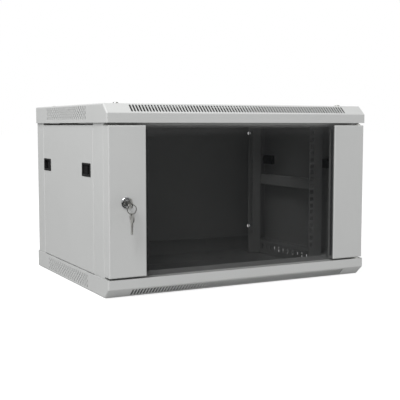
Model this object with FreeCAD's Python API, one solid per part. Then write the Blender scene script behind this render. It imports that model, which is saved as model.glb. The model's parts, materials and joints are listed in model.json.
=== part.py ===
import FreeCAD, Part
import math
import os
from FreeCAD import Vector

# Wall-mounted 19-inch network cabinet, 6U, folded sheet steel with a glass door.
# X runs to the right as seen from the door, the door faces -Y, and Z is up.
# The origin is the middle of the wall bolts, on the back plane of the cabinet.
# All lengths are in millimetres.

# ---- cabinet ---------------------------------------------------------------------
WIDTH = 600.0
DEPTH = 450.0
HEIGHT = 370.0

# ---- top and bottom covers ---------------------------------------------------------
COVER_SHEET = 1.2
COVER_RIM = 36.5            # height of the side, front and rear walls of a cover
COVER_BEND = 3.0            # outside radius of a cover's folds
NOSE_RUN = 20.0             # how far back the slanted nose reaches
NOSE_RISE = 18.0            # height of the slanted nose

SLOT_COUNT = 77             # air slots in each nose
SLOT_PITCH = 6.5
SLOT_WIDTH = 3.0
SLOT_LENGTH = 20.0

VENT_COLUMNS = 39           # air slots in each cover's side rim
VENT_PITCH = 6.5
VENT_WIDTH = 3.0
VENT_FROM_WALL = 211.0       # wall plane to the middle of the vents
VENT_MIDDLE = 17.3          # from the outside of the cover up to the middle of the field
VENT_TALL = 27.0
VENT_SHORT = 17.0

KNOCKOUTS = 4               # cable knockouts in each cover's rear rim
KNOCKOUT_PITCH = 125.7
KNOCKOUT_WIDTH = 88.0
KNOCKOUT_HEIGHT = 24.0
KNOCKOUT_FLOOR = 9.0        # from the outside of the cover up to the knockout
KNOCKOUT_CORNER = 5.0       # cut-off corner
KNOCKOUT_GROOVE = 1.2       # width of the pierced outline
KNOCKOUT_WEB = 3.0          # bridge left above and below, to be broken by hand

ENTRY_WIDTH = 240.0         # cable entry cut in each cover plate
ENTRY_DEPTH = 60.0
ENTRY_FROM_WALL = 85.0      # wall plane to the middle of the entry
PLATE_LAP = 9.0             # how far the plate laps over the edge of the entry
PLATE_SHEET = 1.2
PLATE_SCREW_INSET = 4.5     # screw centre in from the plate's edge

FAN_SPACING = 170.0         # between the two fan grilles of the top cover
FAN_FROM_WALL = 255.0
FAN_OPENING = 112.0         # diameter of the grille
FAN_SLOTS = 11
FAN_SLOT_PITCH = 9.0
FAN_SLOT_WIDTH = 5.0
FAN_SCREW_SPACING = 105.0
FAN_SCREW_HOLE_R = 2.2

# ---- frame -------------------------------------------------------------------------
BODY_INSET = 3.0            # posts and side panels stand in from the cover's side
FRAME_SHEET = 1.2
FRAME_BEND = 2.2
FIT_GAP = 0.3               # sheet standing beside sheet, not touching

POST_SETBACK = 27.0         # front of the posts behind the front plane
POST_DEPTH = 55.0
POST_FRONT_LEG = 22.0
POST_REAR_LEG = 26.0
POST_TAB = 52.0             # screw tab at the ends of a post, reaching inwards

REAR_WING = 47.0            # depth of the rear panel's side wings
REAR_LIP = 15.0
REAR_PANEL_GAP = 2.0        # rear panel above the rear rim of the cover
REAR_HEM = 12.0

CROSSBAR_DROP = 11.0        # upright leg of a front crossbar
CROSSBAR_GAP = 0.8          # flat leg of a crossbar past the mouth of the cover
CROSSBAR_SCREW_DROP = 4.5
WALL_HOLE_FROM_SIDE = 21.0
WALL_HOLE_FROM_MOUTH = 25.5
WALL_HOLE_R = 4.5

# ---- depth brackets and braces -----------------------------------------------------
BRACKET_FROM_SIDE = 35.0    # web of a depth bracket in from the posts' outer face
BRACKET_LEDGE = 29.0        # how far the flanges of a bracket reach outwards
BRACKET_HEIGHT = 34.0
BRACKET_SLOTS = 11
BRACKET_SLOT_PITCH = 19.5
BRACKET_SLOT_WIDTH = 7.0
BRACKET_SLOT_HEIGHT = 14.0
BRACKET_SLOTS_FROM_WALL = 191.0
BRACKET_SLOT_RISE = 21.0    # above the outside of the cover
BRACKET_SCREW_FROM_SIDE = 17.0

BRACE_HEIGHT = 25.0
BRACE_DEPTH = 10.0
BRACE_CENTRE_Z = 7.0
BRACE_OVERHANG = 12.0       # past the rails' rear flanges

# ---- 19-inch rails -----------------------------------------------------------------
UNIT_HEIGHT = 44.45         # one rack unit
UNITS = 6
RAIL_SHEET = 1.5
RAIL_BEND = 2.5
RAIL_FACE = 36.6            # leaves 450.8 clear between a pair of rails
RAIL_HOLE_IN = 7.15         # holes in from the face's free edge, 465.1 across the pair
RAIL_HOLE = 9.5
RAIL_HOLES = 3              # square holes in each rack unit
RAIL_HOLE_FIRST = 6.35
RAIL_HOLE_STEP = 15.875
RAIL_FLANGE = 30.0
RAIL_SCREW_SETBACK = 16.5   # from the rail's face back to its flange screws
FRONT_RAIL_SETBACK = 100.0  # from the front plane
REAR_RAIL_FROM_WALL = 85.0
RAIL_END_GAP = 3.0

# ---- side panels -------------------------------------------------------------------
PANEL_SHEET = 1.0
PANEL_BEND = 2.0
PANEL_RETURN = 12.0
PANEL_SEAM = 1.0            # gap between a panel and the post beside it
PANEL_TOP_GAP = 4.4         # gap under the top cover
PANEL_TAB_WIDTH = 40.0
PANEL_TAB_DROP = 8.0
PANEL_TAB_FROM_EDGE = 60.0
PANEL_TAB_INSET = 1.0       # joggle that lets a tab drop behind the cover's rim

LATCH_FROM_TOP = 88.5       # panel's top edge down to the middle of a latch
LATCH_FRONT_FROM_EDGE = 38.0
LATCH_REAR_FROM_EDGE = 27.0
LATCH_FRAME_Y = 50.0
LATCH_FRAME_Z = 27.0
LATCH_FRAME_PROUD = 0.8
LATCH_BODY_Y = 38.0
LATCH_BODY_Z = 22.0
LATCH_BODY_DEPTH = 10.0
LATCH_WALL = 1.6
LATCH_THUMB_Y = 19.0
LATCH_TRAVEL = 8.0
LATCH_GAP = 0.4
LATCH_RIBS = 3              # finger ribs on a thumb block
LATCH_RIB_PITCH = 5.0
LATCH_RIB_FIRST = 3.0
LATCH_RIB_WIDTH = 2.0
LATCH_RIB_HEIGHT = 1.0
LATCH_THUMB_SUNK = 1.5      # thumb block below the panel's face
WINDOW_GAP = 1.0            # tongue window round its tongue
TONGUE_Z = 10.0
TONGUE_X = 3.0
TONGUE_FREE = 0.8           # tongue end to the post when the latch is open

# ---- door --------------------------------------------------------------------------
DOOR_SHEET = 1.2
DOOR_BEND = 2.0
DOOR_DEPTH = 20.5
DOOR_FOOT_GAP = 3.5         # door above the mouth of the bottom cover
DOOR_HEAD_GAP = 5.0         # door below the mouth of the top cover
STRIP_WIDTH = 76.5
GLASS_THICK = 4.0
GLASS_RECESS = 1.4
GLASS_SIDE_GAP = 1.2
GLASS_ARRIS = 0.5           # ground edge of the glass
TAPE_THICK = 1.0
TAPE_WIDTH = 4.0
TAPE_INSET = 0.5            # tape in from the edge of the glass
LEDGE_WIDTH = 6.0
LEDGE_SHEET = 1.5
LEDGE_BEND = 2.3
LEDGE_LEG = 12.0
LEDGE_END_GAP = 8.0

# ---- door hinge --------------------------------------------------------------------
HINGE_FROM_SIDE = 11.0      # pin axis in from the door's side
HINGE_FROM_FRONT = 8.0      # pin axis behind the door's front
PIN_R = 3.0
PIN_RUNNING = 0.08
PIN_COLLAR_R = 4.6
PIN_COLLAR = 2.0
WASHER_R = 6.0
WASHER_LIFT = 0.3
PIN_THROUGH = 1.5           # pin end past the crossbar
TOP_WASHER = 3.0
BOTTOM_PIN_INSIDE = 6.0
SPRING_LENGTH = 21.0
SPRING_WIRE = 0.9
SPRING_TURNS = 5
SPRING_STEPS = 10           # straight stretches in a turn
SPRING_GAP = 0.2
COLLAR_GAP = 0.1            # upper pin's collar below the strip's top fold
TOP_PIN_TAIL = 11.0         # pin below its guide
PIN_HANDLE = 17.0
PIN_HANDLE_R = 2.2
GUIDE_LEG = 16.0
GUIDE_SHEET = 1.5
GUIDE_BEND = 2.2

# ---- cam lock ----------------------------------------------------------------------
LOCK_FROM_SIDE = 35.8
LOCK_Z = -2.0
LOCK_BEZEL_R = 11.25
LOCK_BEZEL = 2.5
LOCK_BEZEL_SLOPE = 1.2
LOCK_BARREL_R = 9.0
LOCK_BARREL = 26.0          # from the front plane to the barrel's inner end
LOCK_PLUG_R = 6.5
LOCK_PLUG_PROUD = 0.3
LOCK_RUNNING = 0.05
LOCK_NUT_FLATS = 22.0
LOCK_NUT = 4.5
CAM_SHEET = 2.0
CAM_LENGTH = 30.0
CAM_WIDTH = 13.0
CAM_CLEAR = 1.2             # cam behind the post's front leg
CAM_SCREW_R = 4.0
CAM_SCREW_HEAD = 2.4

KEY_THICK = 2.0
KEY_BLADE = 7.0
KEY_INSERTED = 16.0
KEY_NECK = 7.0
KEY_BOW_R = 10.0
KEY_BOW_REACH = 8.5         # from the neck to the middle of the bow
KEY_HOLE_R = 2.4
KEY_HOLE_FROM_CENTRE = 6.0
KEYWAY_GAP = 0.2
RING_R = 9.0                # middle of the ring's flat wire
RING_WIRE = 1.6

# ---- screws ------------------------------------------------------------------------
SCREW_SIDES = 8             # small fasteners and their holes are drawn eight-sided
COVER_SCREW_FROM_SIDE = 35.0
COVER_SCREW_FRONT = 50.0    # from the front plane
COVER_SCREW_REAR = 25.0     # from the wall plane
SCREW_R = 3.0
SCREW_HEAD_R = 5.5
SCREW_HEAD = 3.0
SMALL_SCREW_R = 2.0
SMALL_HEAD_R = 3.6
SMALL_HEAD = 1.8
RAIL_HEAD_R = 4.6
FLUSH_HEAD_R = 5.0
SCREW_TAIL = 4.0            # thread past the sheets that it holds
SCREW_SHORT = 0.2           # thread end inside the last sheet
PASS = 1.0                  # how far a cutter runs past a face
NEAR = 0.01                 # closer than this is taken as the same place

# ---- places that follow from the sizes ---------------------------------------------
HALF_WIDTH = WIDTH / 2
HALF_HEIGHT = HEIGHT / 2
FRONT = -DEPTH
COVER_MOUTH = HALF_HEIGHT - COVER_RIM       # height of the free edge of a cover's rim
PLATE_INSIDE = HALF_HEIGHT - COVER_SHEET    # inner face of a cover's plate
BODY_SIDE = HALF_WIDTH - BODY_INSET         # outer face of posts and side panels
WALL_HOLE_X = BODY_SIDE - WALL_HOLE_FROM_SIDE
WALL_HOLE_Z = COVER_MOUTH - WALL_HOLE_FROM_MOUTH
COVER_SCREW_X = BODY_SIDE - COVER_SCREW_FROM_SIDE
POST_FRONT = FRONT + POST_SETBACK
POST_REAR = POST_FRONT + POST_DEPTH
BRACKET_FACE = BODY_SIDE - BRACKET_FROM_SIDE
BRACKET_MOUTH = PLATE_INSIDE - BRACKET_HEIGHT
BRACKET_SCREW_X = BODY_SIDE - BRACKET_SCREW_FROM_SIDE
BRACKET_SCREW_Z = PLATE_INSIDE - BRACKET_HEIGHT / 2
FRONT_RAIL_Y = FRONT + FRONT_RAIL_SETBACK
REAR_RAIL_Y = -REAR_RAIL_FROM_WALL
RAIL_SCREW_DEPTHS = (FRONT_RAIL_Y + RAIL_SCREW_SETBACK, REAR_RAIL_Y + RAIL_SCREW_SETBACK)
PANEL_BOTTOM = -BRACKET_MOUTH + FIT_GAP
PANEL_TOP = COVER_MOUTH - PANEL_TOP_GAP
PANEL_FRONT = POST_REAR + PANEL_SEAM
PANEL_REAR = -REAR_WING - PANEL_SEAM
LATCH_Z = PANEL_TOP - LATCH_FROM_TOP
TONGUE_OUTER = BODY_SIDE - PANEL_SHEET - LATCH_BODY_DEPTH / 2 + TONGUE_X / 2
DOOR_BOTTOM = -COVER_MOUTH + DOOR_FOOT_GAP
DOOR_TOP = COVER_MOUTH - DOOR_HEAD_GAP
STRIP_INNER = BODY_SIDE - STRIP_WIDTH
DOOR_REAR = FRONT + DOOR_DEPTH
GLASS_FRONT = FRONT + GLASS_RECESS
GLASS_REAR = GLASS_FRONT + GLASS_THICK
LEDGE_FACE = GLASS_REAR + TAPE_THICK
GLASS_HALF = STRIP_INNER - GLASS_SIDE_GAP
CROSSBAR_TOP_Z = COVER_MOUTH + CROSSBAR_GAP   # under side of the top crossbar's flat leg
CROSSBAR_SCREW_X = BODY_SIDE - POST_FRONT_LEG / 2
CROSSBAR_SCREW_Z = CROSSBAR_TOP_Z - CROSSBAR_SCREW_DROP
HINGE_X = BODY_SIDE - HINGE_FROM_SIDE
HINGE_Y = FRONT + HINGE_FROM_FRONT
COLLAR_TOP = DOOR_TOP - DOOR_SHEET - COLLAR_GAP
GUIDE_TOP = COLLAR_TOP - PIN_COLLAR - SPRING_LENGTH
LOCK_X = -BODY_SIDE + LOCK_FROM_SIDE
LOCK_FACE = FRONT - LOCK_BEZEL
PLUG_FACE = LOCK_FACE - LOCK_PLUG_PROUD
CAM_Y = POST_FRONT + FRAME_SHEET + CAM_CLEAR
KEY_SHOULDER = PLUG_FACE - KEYWAY_GAP
BOW_CENTRE_Y = KEY_SHOULDER - KEY_NECK - KEY_BOW_REACH
KEY_HOLE_Y = BOW_CENTRE_Y - KEY_HOLE_FROM_CENTRE
RING_CENTRE_Z = LOCK_Z - KEY_HOLE_R + FIT_GAP + RING_WIRE / 2 - RING_R
SPARE_HOLE_Z = RING_CENTRE_Z - RING_R + RING_WIRE / 2 + FIT_GAP - KEY_HOLE_R


# ---- building blocks ---------------------------------------------------------------
def box(x0, x1, y0, y1, z0, z1):
    low = Vector(min(x0, x1), min(y0, y1), min(z0, z1))
    return Part.makeBox(abs(x1 - x0), abs(y1 - y0), abs(z1 - z0), low)


def prism(points, direction):
    """A straight-sided block over a closed outline."""
    wire = Part.makePolygon(points + [points[0]])
    return Part.Face(wire).extrude(direction)


def regular_corners(radius, sides):
    turns = [2 * math.pi * i / sides for i in range(sides)]
    return [Vector(radius * math.cos(turn), radius * math.sin(turn), 0) for turn in turns]


def rod(radius, start, end, sides=0):
    """A round bar between two points, or a many-sided one."""
    axis = end - start
    if sides == 0:
        return Part.makeCylinder(radius, axis.Length, start, axis)
    bar = prism(regular_corners(radius, sides), Vector(0, 0, axis.Length))
    bar.Placement = FreeCAD.Placement(start, FreeCAD.Rotation(Vector(0, 0, 1), axis))
    return bar


def upright_rod(radius, x, y, z0, z1, sides=0):
    return rod(radius, Vector(x, y, z0), Vector(x, y, z1), sides)


def depth_rod(radius, x, z, y0, y1, sides=0):
    return rod(radius, Vector(x, y0, z), Vector(x, y1, z), sides)


def cross_rod(radius, y, z, x0, x1, sides=0):
    return rod(radius, Vector(x0, y, z), Vector(x1, y, z), sides)


def mirror_x(shape):
    return shape.mirror(Vector(0, 0, 0), Vector(1, 0, 0))


def mirror_z(shape):
    return shape.mirror(Vector(0, 0, 0), Vector(0, 0, 1))


def group(shapes):
    """Separate solids that share one node, such as a set of screws."""
    return Part.makeCompound(shapes)


def fuse(first, *rest):
    return first.fuse(list(rest)).removeSplitter()


def cut(shape, tools):
    return shape.cut(tools)


def corner_arc(before, corner, after, radius):
    """The tangent points and middle of the arc that rounds a corner."""
    into = (before - corner).normalize()
    out = (after - corner).normalize()
    half = into.getAngle(out) / 2
    reach = radius / math.tan(half)
    bisector = (into + out).normalize()
    middle = corner + bisector * (radius / math.sin(half) - radius)
    return corner + into * reach, middle, corner + out * reach


def rounded_edges(points, radii):
    """Straight runs joined by arcs, along an open chain of points."""
    edges = []
    last = points[0]
    for i in range(1, len(points) - 1):
        if radii[i - 1] > NEAR:
            start, middle, end = corner_arc(points[i - 1], points[i], points[i + 1], radii[i - 1])
            edges.append(Part.LineSegment(last, start).toShape())
            edges.append(Part.Arc(start, middle, end).toShape())
            last = end
        else:
            edges.append(Part.LineSegment(last, points[i]).toShape())
            last = points[i]
    edges.append(Part.LineSegment(last, points[-1]).toShape())
    return edges


def folded(points, sheet, bend, direction):
    """Folded sheet metal: an open outline of its outer face, given thickness on its
    left hand as seen with the extrusion pointing at the eye, then extruded."""
    up = Vector(direction).normalize()
    runs = [(b - a).normalize() for a, b in zip(points, points[1:])]
    lefts = [up.cross(run) for run in runs]
    inner = [points[0] + lefts[0] * sheet]
    outer_radii = []
    inner_radii = []
    for i in range(1, len(points) - 1):
        turn = runs[i - 1].cross(runs[i]).dot(up)
        bisector = (lefts[i - 1] + lefts[i]).normalize()
        inner.append(points[i] + bisector * (sheet / bisector.dot(lefts[i])))
        outer_radii.append(bend if turn > 0 else bend - sheet)
        inner_radii.append(bend - sheet if turn > 0 else bend)
    inner.append(points[-1] + lefts[-1] * sheet)
    there = rounded_edges(points, outer_radii)
    back = rounded_edges(inner, inner_radii)
    start_cap = Part.LineSegment(points[0], inner[0]).toShape()
    end_cap = Part.LineSegment(points[-1], inner[-1]).toShape()
    wire = Part.Wire(Part.__sortEdges__(there + [end_cap] + back + [start_cap]))
    return Part.Face(wire).extrude(direction)


def edges_where(shape, test):
    return [edge for edge in shape.Edges if test(edge.BoundBox)]


def tray(solid, fold_test, open_test, bend, sheet):
    """A folded pan: a block with its folds rounded and its corner seams left sharp,
    hollowed through one open face."""
    rounded = solid.makeFillet(bend, edges_where(solid, fold_test))
    mouth = [face for face in rounded.Faces if open_test(face.BoundBox)]
    return rounded.makeThickness(mouth, -sheet, 0.001)


def save(name, shape):
    shape.exportStep("parts/" + name + ".step")


# ---- covers ------------------------------------------------------------------------
def cover_tray():
    """The bottom cover's folded tray: plate, two side rims, rear rim and slanted nose."""
    low = -HALF_HEIGHT
    outline = [
        Vector(-HALF_WIDTH, FRONT, -COVER_MOUTH),
        Vector(-HALF_WIDTH, FRONT, low + NOSE_RISE),
        Vector(-HALF_WIDTH, FRONT + NOSE_RUN, low),
        Vector(-HALF_WIDTH, 0, low),
        Vector(-HALF_WIDTH, 0, -COVER_MOUTH),
    ]
    block = prism(outline, Vector(WIDTH, 0, 0))
    folds = lambda b: b.ZMax < low + NOSE_RISE + NEAR
    mouth = lambda b: b.ZMin > -COVER_MOUTH - NEAR
    return tray(block, folds, mouth, COVER_BEND, COVER_SHEET)


def nose_slots():
    """Cutters for the row of upright slots in the slanted nose."""
    nose_length = math.hypot(NOSE_RUN, NOSE_RISE)
    along = Vector(0, NOSE_RUN / nose_length, -NOSE_RISE / nose_length)
    outwards = Vector(0, -along.z, along.y) * -1
    middle = Vector(0, FRONT + NOSE_RUN / 2, -HALF_HEIGHT + NOSE_RISE / 2)
    reach = along * (SLOT_LENGTH / 2)
    depth = outwards * (3 * COVER_SHEET)
    cutters = []
    for i in range(SLOT_COUNT):
        x = (i - (SLOT_COUNT - 1) / 2) * SLOT_PITCH - SLOT_WIDTH / 2
        place = middle + Vector(x, 0, 0)
        corners = [
            place - reach - depth,
            place + reach - depth,
            place + reach + depth,
            place - reach + depth,
        ]
        cutters.append(prism(corners, Vector(SLOT_WIDTH, 0, 0)))
    return cutters


def rim_vents():
    """Cutters for the side vents: tall and short upright slots in turn, both sides."""
    middle_z = -HALF_HEIGHT + VENT_MIDDLE
    cutters = []
    for i in range(VENT_COLUMNS):
        y = -VENT_FROM_WALL + (i - (VENT_COLUMNS - 1) / 2) * VENT_PITCH
        half = (VENT_TALL if i % 2 == 0 else VENT_SHORT) / 2
        for side in (-HALF_WIDTH, HALF_WIDTH):
            cutters.append(box(side - 2 * COVER_SHEET, side + 2 * COVER_SHEET,
                               y - VENT_WIDTH / 2, y + VENT_WIDTH / 2,
                               middle_z - half, middle_z + half))
    return cutters


def knockout_outline(width, height, centre):
    """Corners of a rectangle with its corners cut off, standing in the rear rim."""
    across = width / 2
    up = height / 2
    quarter = [(across, up - KNOCKOUT_CORNER), (across - KNOCKOUT_CORNER, up)]
    half = quarter + [(-x, z) for x, z in reversed(quarter)]
    whole = half + [(-x, -z) for x, z in half]
    return [centre + Vector(x, 0, z) for x, z in whole]


def knockouts():
    """Cutters for the pierced outlines of the cable knockouts in the rear rim."""
    through = Vector(0, 3 * COVER_SHEET, 0)
    centre_z = -HALF_HEIGHT + KNOCKOUT_FLOOR + KNOCKOUT_HEIGHT / 2
    cutters = []
    for i in range(KNOCKOUTS):
        x = (i - (KNOCKOUTS - 1) / 2) * KNOCKOUT_PITCH
        centre = Vector(x, -2 * COVER_SHEET, centre_z)
        outside = prism(knockout_outline(KNOCKOUT_WIDTH, KNOCKOUT_HEIGHT, centre), through)
        inside = prism(knockout_outline(KNOCKOUT_WIDTH - 2 * KNOCKOUT_GROOVE,
                                        KNOCKOUT_HEIGHT - 2 * KNOCKOUT_GROOVE, centre), through)
        web = box(x - KNOCKOUT_WEB / 2, x + KNOCKOUT_WEB / 2, -2 * COVER_SHEET, COVER_SHEET,
                  centre_z - KNOCKOUT_HEIGHT, centre_z + KNOCKOUT_HEIGHT)
        cutters.append(cut(outside, [inside, web]))
    return cutters


def cable_entry():
    return box(-ENTRY_WIDTH / 2, ENTRY_WIDTH / 2,
               -ENTRY_FROM_WALL - ENTRY_DEPTH / 2, -ENTRY_FROM_WALL + ENTRY_DEPTH / 2,
               -HALF_HEIGHT - COVER_SHEET, -PLATE_INSIDE + COVER_SHEET)


def plate_screw_places():
    reach_x = ENTRY_WIDTH / 2 + PLATE_LAP - PLATE_SCREW_INSET
    reach_y = ENTRY_DEPTH / 2 + PLATE_LAP - PLATE_SCREW_INSET
    return [(sx * reach_x, -ENTRY_FROM_WALL + sy * reach_y) for sx in (-1, 1) for sy in (-1, 1)]


def cover_screw_places():
    rows = (FRONT + COVER_SCREW_FRONT, -COVER_SCREW_REAR)
    return [(sx * COVER_SCREW_X, y) for sx in (-1, 1) for y in rows]


def drill_plate(places, radius, sides=0):
    """Cutters for holes through the bottom cover's plate."""
    return [upright_rod(radius, x, y, -HALF_HEIGHT - PASS, -PLATE_INSIDE + PASS, sides)
            for x, y in places]


def fan_grilles():
    """Cutters for two round fan grilles, each a row of slots inside a circle."""
    cutters = []
    y_middle = -FAN_FROM_WALL
    for side in (-1, 1):
        x_middle = side * FAN_SPACING / 2
        for i in range(FAN_SLOTS):
            x = (i - (FAN_SLOTS - 1) / 2) * FAN_SLOT_PITCH
            half = math.sqrt((FAN_OPENING / 2) ** 2 - x * x)
            cutters.append(box(x_middle + x - FAN_SLOT_WIDTH / 2, x_middle + x + FAN_SLOT_WIDTH / 2,
                               y_middle - half, y_middle + half,
                               -HALF_HEIGHT - COVER_SHEET, -PLATE_INSIDE + COVER_SHEET))
        reach = FAN_SCREW_SPACING / 2
        corners = [(x_middle + sx * reach, y_middle + sy * reach) for sx in (-1, 1) for sy in (-1, 1)]
        cutters += drill_plate(corners, FAN_SCREW_HOLE_R)
    return cutters


def plain_cover():
    cutters = nose_slots() + rim_vents() + knockouts() + [cable_entry()]
    cutters += drill_plate(plate_screw_places(), SMALL_SCREW_R, SCREW_SIDES)
    cutters += drill_plate(cover_screw_places(), SCREW_R, SCREW_SIDES)
    return cut(cover_tray(), cutters)


def cable_plate():
    """The plate that closes the cable entry, lying inside the bottom cover."""
    reach_x = ENTRY_WIDTH / 2 + PLATE_LAP
    reach_y = ENTRY_DEPTH / 2 + PLATE_LAP
    plate = box(-reach_x, reach_x, -ENTRY_FROM_WALL - reach_y, -ENTRY_FROM_WALL + reach_y,
                -PLATE_INSIDE, -PLATE_INSIDE + PLATE_SHEET)
    holes = [upright_rod(SMALL_SCREW_R, x, y, -PLATE_INSIDE - PASS,
                         -PLATE_INSIDE + PLATE_SHEET + PASS, SCREW_SIDES)
             for x, y in plate_screw_places()]
    return cut(plate, holes)


def cable_plate_screws():
    """Pan-head screws of the lower cable plate, put in from inside the cabinet."""
    top = -PLATE_INSIDE + PLATE_SHEET
    screws = []
    for x, y in plate_screw_places():
        head = upright_rod(SMALL_HEAD_R, x, y, top, top + SMALL_HEAD, SCREW_SIDES)
        shank = upright_rod(SMALL_SCREW_R, x, y, -HALF_HEIGHT + SCREW_SHORT, top, SCREW_SIDES)
        screws.append(fuse(head, shank))
    return screws


# ---- posts, rear panel and crossbars -----------------------------------------------
def front_post():
    """Right-hand front post: a folded channel with a screw tab at each end."""
    length = 2 * PLATE_INSIDE
    z0 = -PLATE_INSIDE
    outline = [
        Vector(BODY_SIDE - POST_FRONT_LEG, POST_FRONT, z0),
        Vector(BODY_SIDE, POST_FRONT, z0),
        Vector(BODY_SIDE, POST_REAR, z0),
        Vector(BODY_SIDE - POST_REAR_LEG, POST_REAR, z0),
    ]
    channel = folded(outline, FRAME_SHEET, FRAME_BEND, Vector(0, 0, length))
    tab = box(BODY_SIDE - POST_TAB, BODY_SIDE - FRAME_SHEET / 2,
              POST_FRONT + FRAME_BEND, POST_REAR - FRAME_BEND,
              z0, z0 + FRAME_SHEET)
    post = fuse(channel, tab, mirror_z(tab))
    holes = [upright_rod(SCREW_R, COVER_SCREW_X, FRONT + COVER_SCREW_FRONT, z0 - PASS, -z0 + PASS,
                         SCREW_SIDES)]
    holes.append(tongue_window(POST_REAR))
    for sz in (-1, 1):
        holes.append(depth_rod(SMALL_SCREW_R, CROSSBAR_SCREW_X, sz * CROSSBAR_SCREW_Z,
                               POST_FRONT - PASS, POST_FRONT + 2 * FRAME_SHEET, SCREW_SIDES))
        holes.append(bracket_screw_hole(POST_REAR, sz))
    return cut(post, holes)


def tongue_window(y):
    """Cutter for the hole that a latch tongue enters, in a leg of a post at depth y."""
    return box(TONGUE_OUTER - TONGUE_X - WINDOW_GAP, TONGUE_OUTER + WINDOW_GAP,
               y - 2 * FRAME_SHEET, y + 2 * FRAME_SHEET,
               LATCH_Z - TONGUE_Z / 2 - WINDOW_GAP, LATCH_Z + TONGUE_Z / 2 + WINDOW_GAP)


def bracket_screw_hole(y, sz):
    return depth_rod(SMALL_SCREW_R, BRACKET_SCREW_X, sz * BRACKET_SCREW_Z,
                     y - 2 * FRAME_SHEET, y + 2 * FRAME_SHEET, SCREW_SIDES)


def rear_panel():
    """Rear wall folded forward into a wing at each side, which is also the rear post."""
    z0 = -PLATE_INSIDE
    side = BODY_SIDE
    outline = [
        Vector(side - REAR_LIP, -REAR_WING, z0),
        Vector(side, -REAR_WING, z0),
        Vector(side, 0, z0),
        Vector(-side, 0, z0),
        Vector(-side, -REAR_WING, z0),
        Vector(-side + REAR_LIP, -REAR_WING, z0),
    ]
    shell = folded(outline, FRAME_SHEET, FRAME_BEND, Vector(0, 0, 2 * PLATE_INSIDE))
    wall_edge = COVER_MOUTH - REAR_PANEL_GAP
    notch = box(-HALF_WIDTH, HALF_WIDTH, -FRAME_BEND - PASS, PASS, -HALF_HEIGHT, -wall_edge)
    hem = box(-side + 2 * FRAME_BEND, side - 2 * FRAME_BEND, -REAR_HEM, -FRAME_SHEET / 2,
              -wall_edge, -wall_edge + FRAME_SHEET)
    tab = box(side - POST_TAB, side - FRAME_SHEET / 2,
              -REAR_WING + FRAME_BEND, -FRAME_BEND - 2 * PASS, z0, z0 + FRAME_SHEET)
    shell = cut(shell, [notch, mirror_z(notch)])
    tabs = [tab, mirror_z(tab), mirror_x(tab), mirror_x(mirror_z(tab))]
    shell = fuse(shell, hem, mirror_z(hem), *tabs)
    one_side = [tongue_window(-REAR_WING),
                upright_rod(SCREW_R, COVER_SCREW_X, -COVER_SCREW_REAR, z0 - PASS, -z0 + PASS,
                            SCREW_SIDES)]
    for sz in (-1, 1):
        one_side.append(bracket_screw_hole(-REAR_WING, sz))
        one_side.append(depth_rod(WALL_HOLE_R, WALL_HOLE_X, sz * WALL_HOLE_Z,
                                  -2 * FRAME_SHEET, PASS))
    return cut(shell, one_side + [mirror_x(hole) for hole in one_side])


def front_crossbar():
    """Top crossbar: a flat leg over the door and an upright leg behind its edge."""
    reach = BODY_SIDE - FIT_GAP
    outline = [
        Vector(-reach, POST_FRONT, CROSSBAR_TOP_Z + FRAME_SHEET - CROSSBAR_DROP),
        Vector(-reach, POST_FRONT, CROSSBAR_TOP_Z + FRAME_SHEET),
        Vector(-reach, FRONT + COVER_SHEET + FIT_GAP, CROSSBAR_TOP_Z + FRAME_SHEET),
    ]
    bar = folded(outline, FRAME_SHEET, FRAME_BEND, Vector(2 * reach, 0, 0))
    holes = [upright_rod(PIN_R + PIN_RUNNING, HINGE_X, HINGE_Y,
                         CROSSBAR_TOP_Z - PASS, CROSSBAR_TOP_Z + FRAME_SHEET + PASS)]
    for sx in (-1, 1):
        holes.append(depth_rod(SMALL_SCREW_R, sx * CROSSBAR_SCREW_X, CROSSBAR_SCREW_Z,
                               POST_FRONT - 2 * FRAME_SHEET, POST_FRONT + PASS, SCREW_SIDES))
    return cut(bar, holes)


def crossbar_screws():
    """Screws from inside the front posts into the crossbars."""
    rear = POST_FRONT + FRAME_SHEET
    front = POST_FRONT - FRAME_SHEET
    screws = []
    for sx in (-1, 1):
        for sz in (-1, 1):
            x = sx * CROSSBAR_SCREW_X
            z = sz * CROSSBAR_SCREW_Z
            head = depth_rod(SMALL_HEAD_R, x, z, rear, rear + SMALL_HEAD, SCREW_SIDES)
            shank = depth_rod(SMALL_SCREW_R, x, z, front + SCREW_SHORT, rear, SCREW_SIDES)
            screws.append(fuse(head, shank))
    return screws


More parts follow.
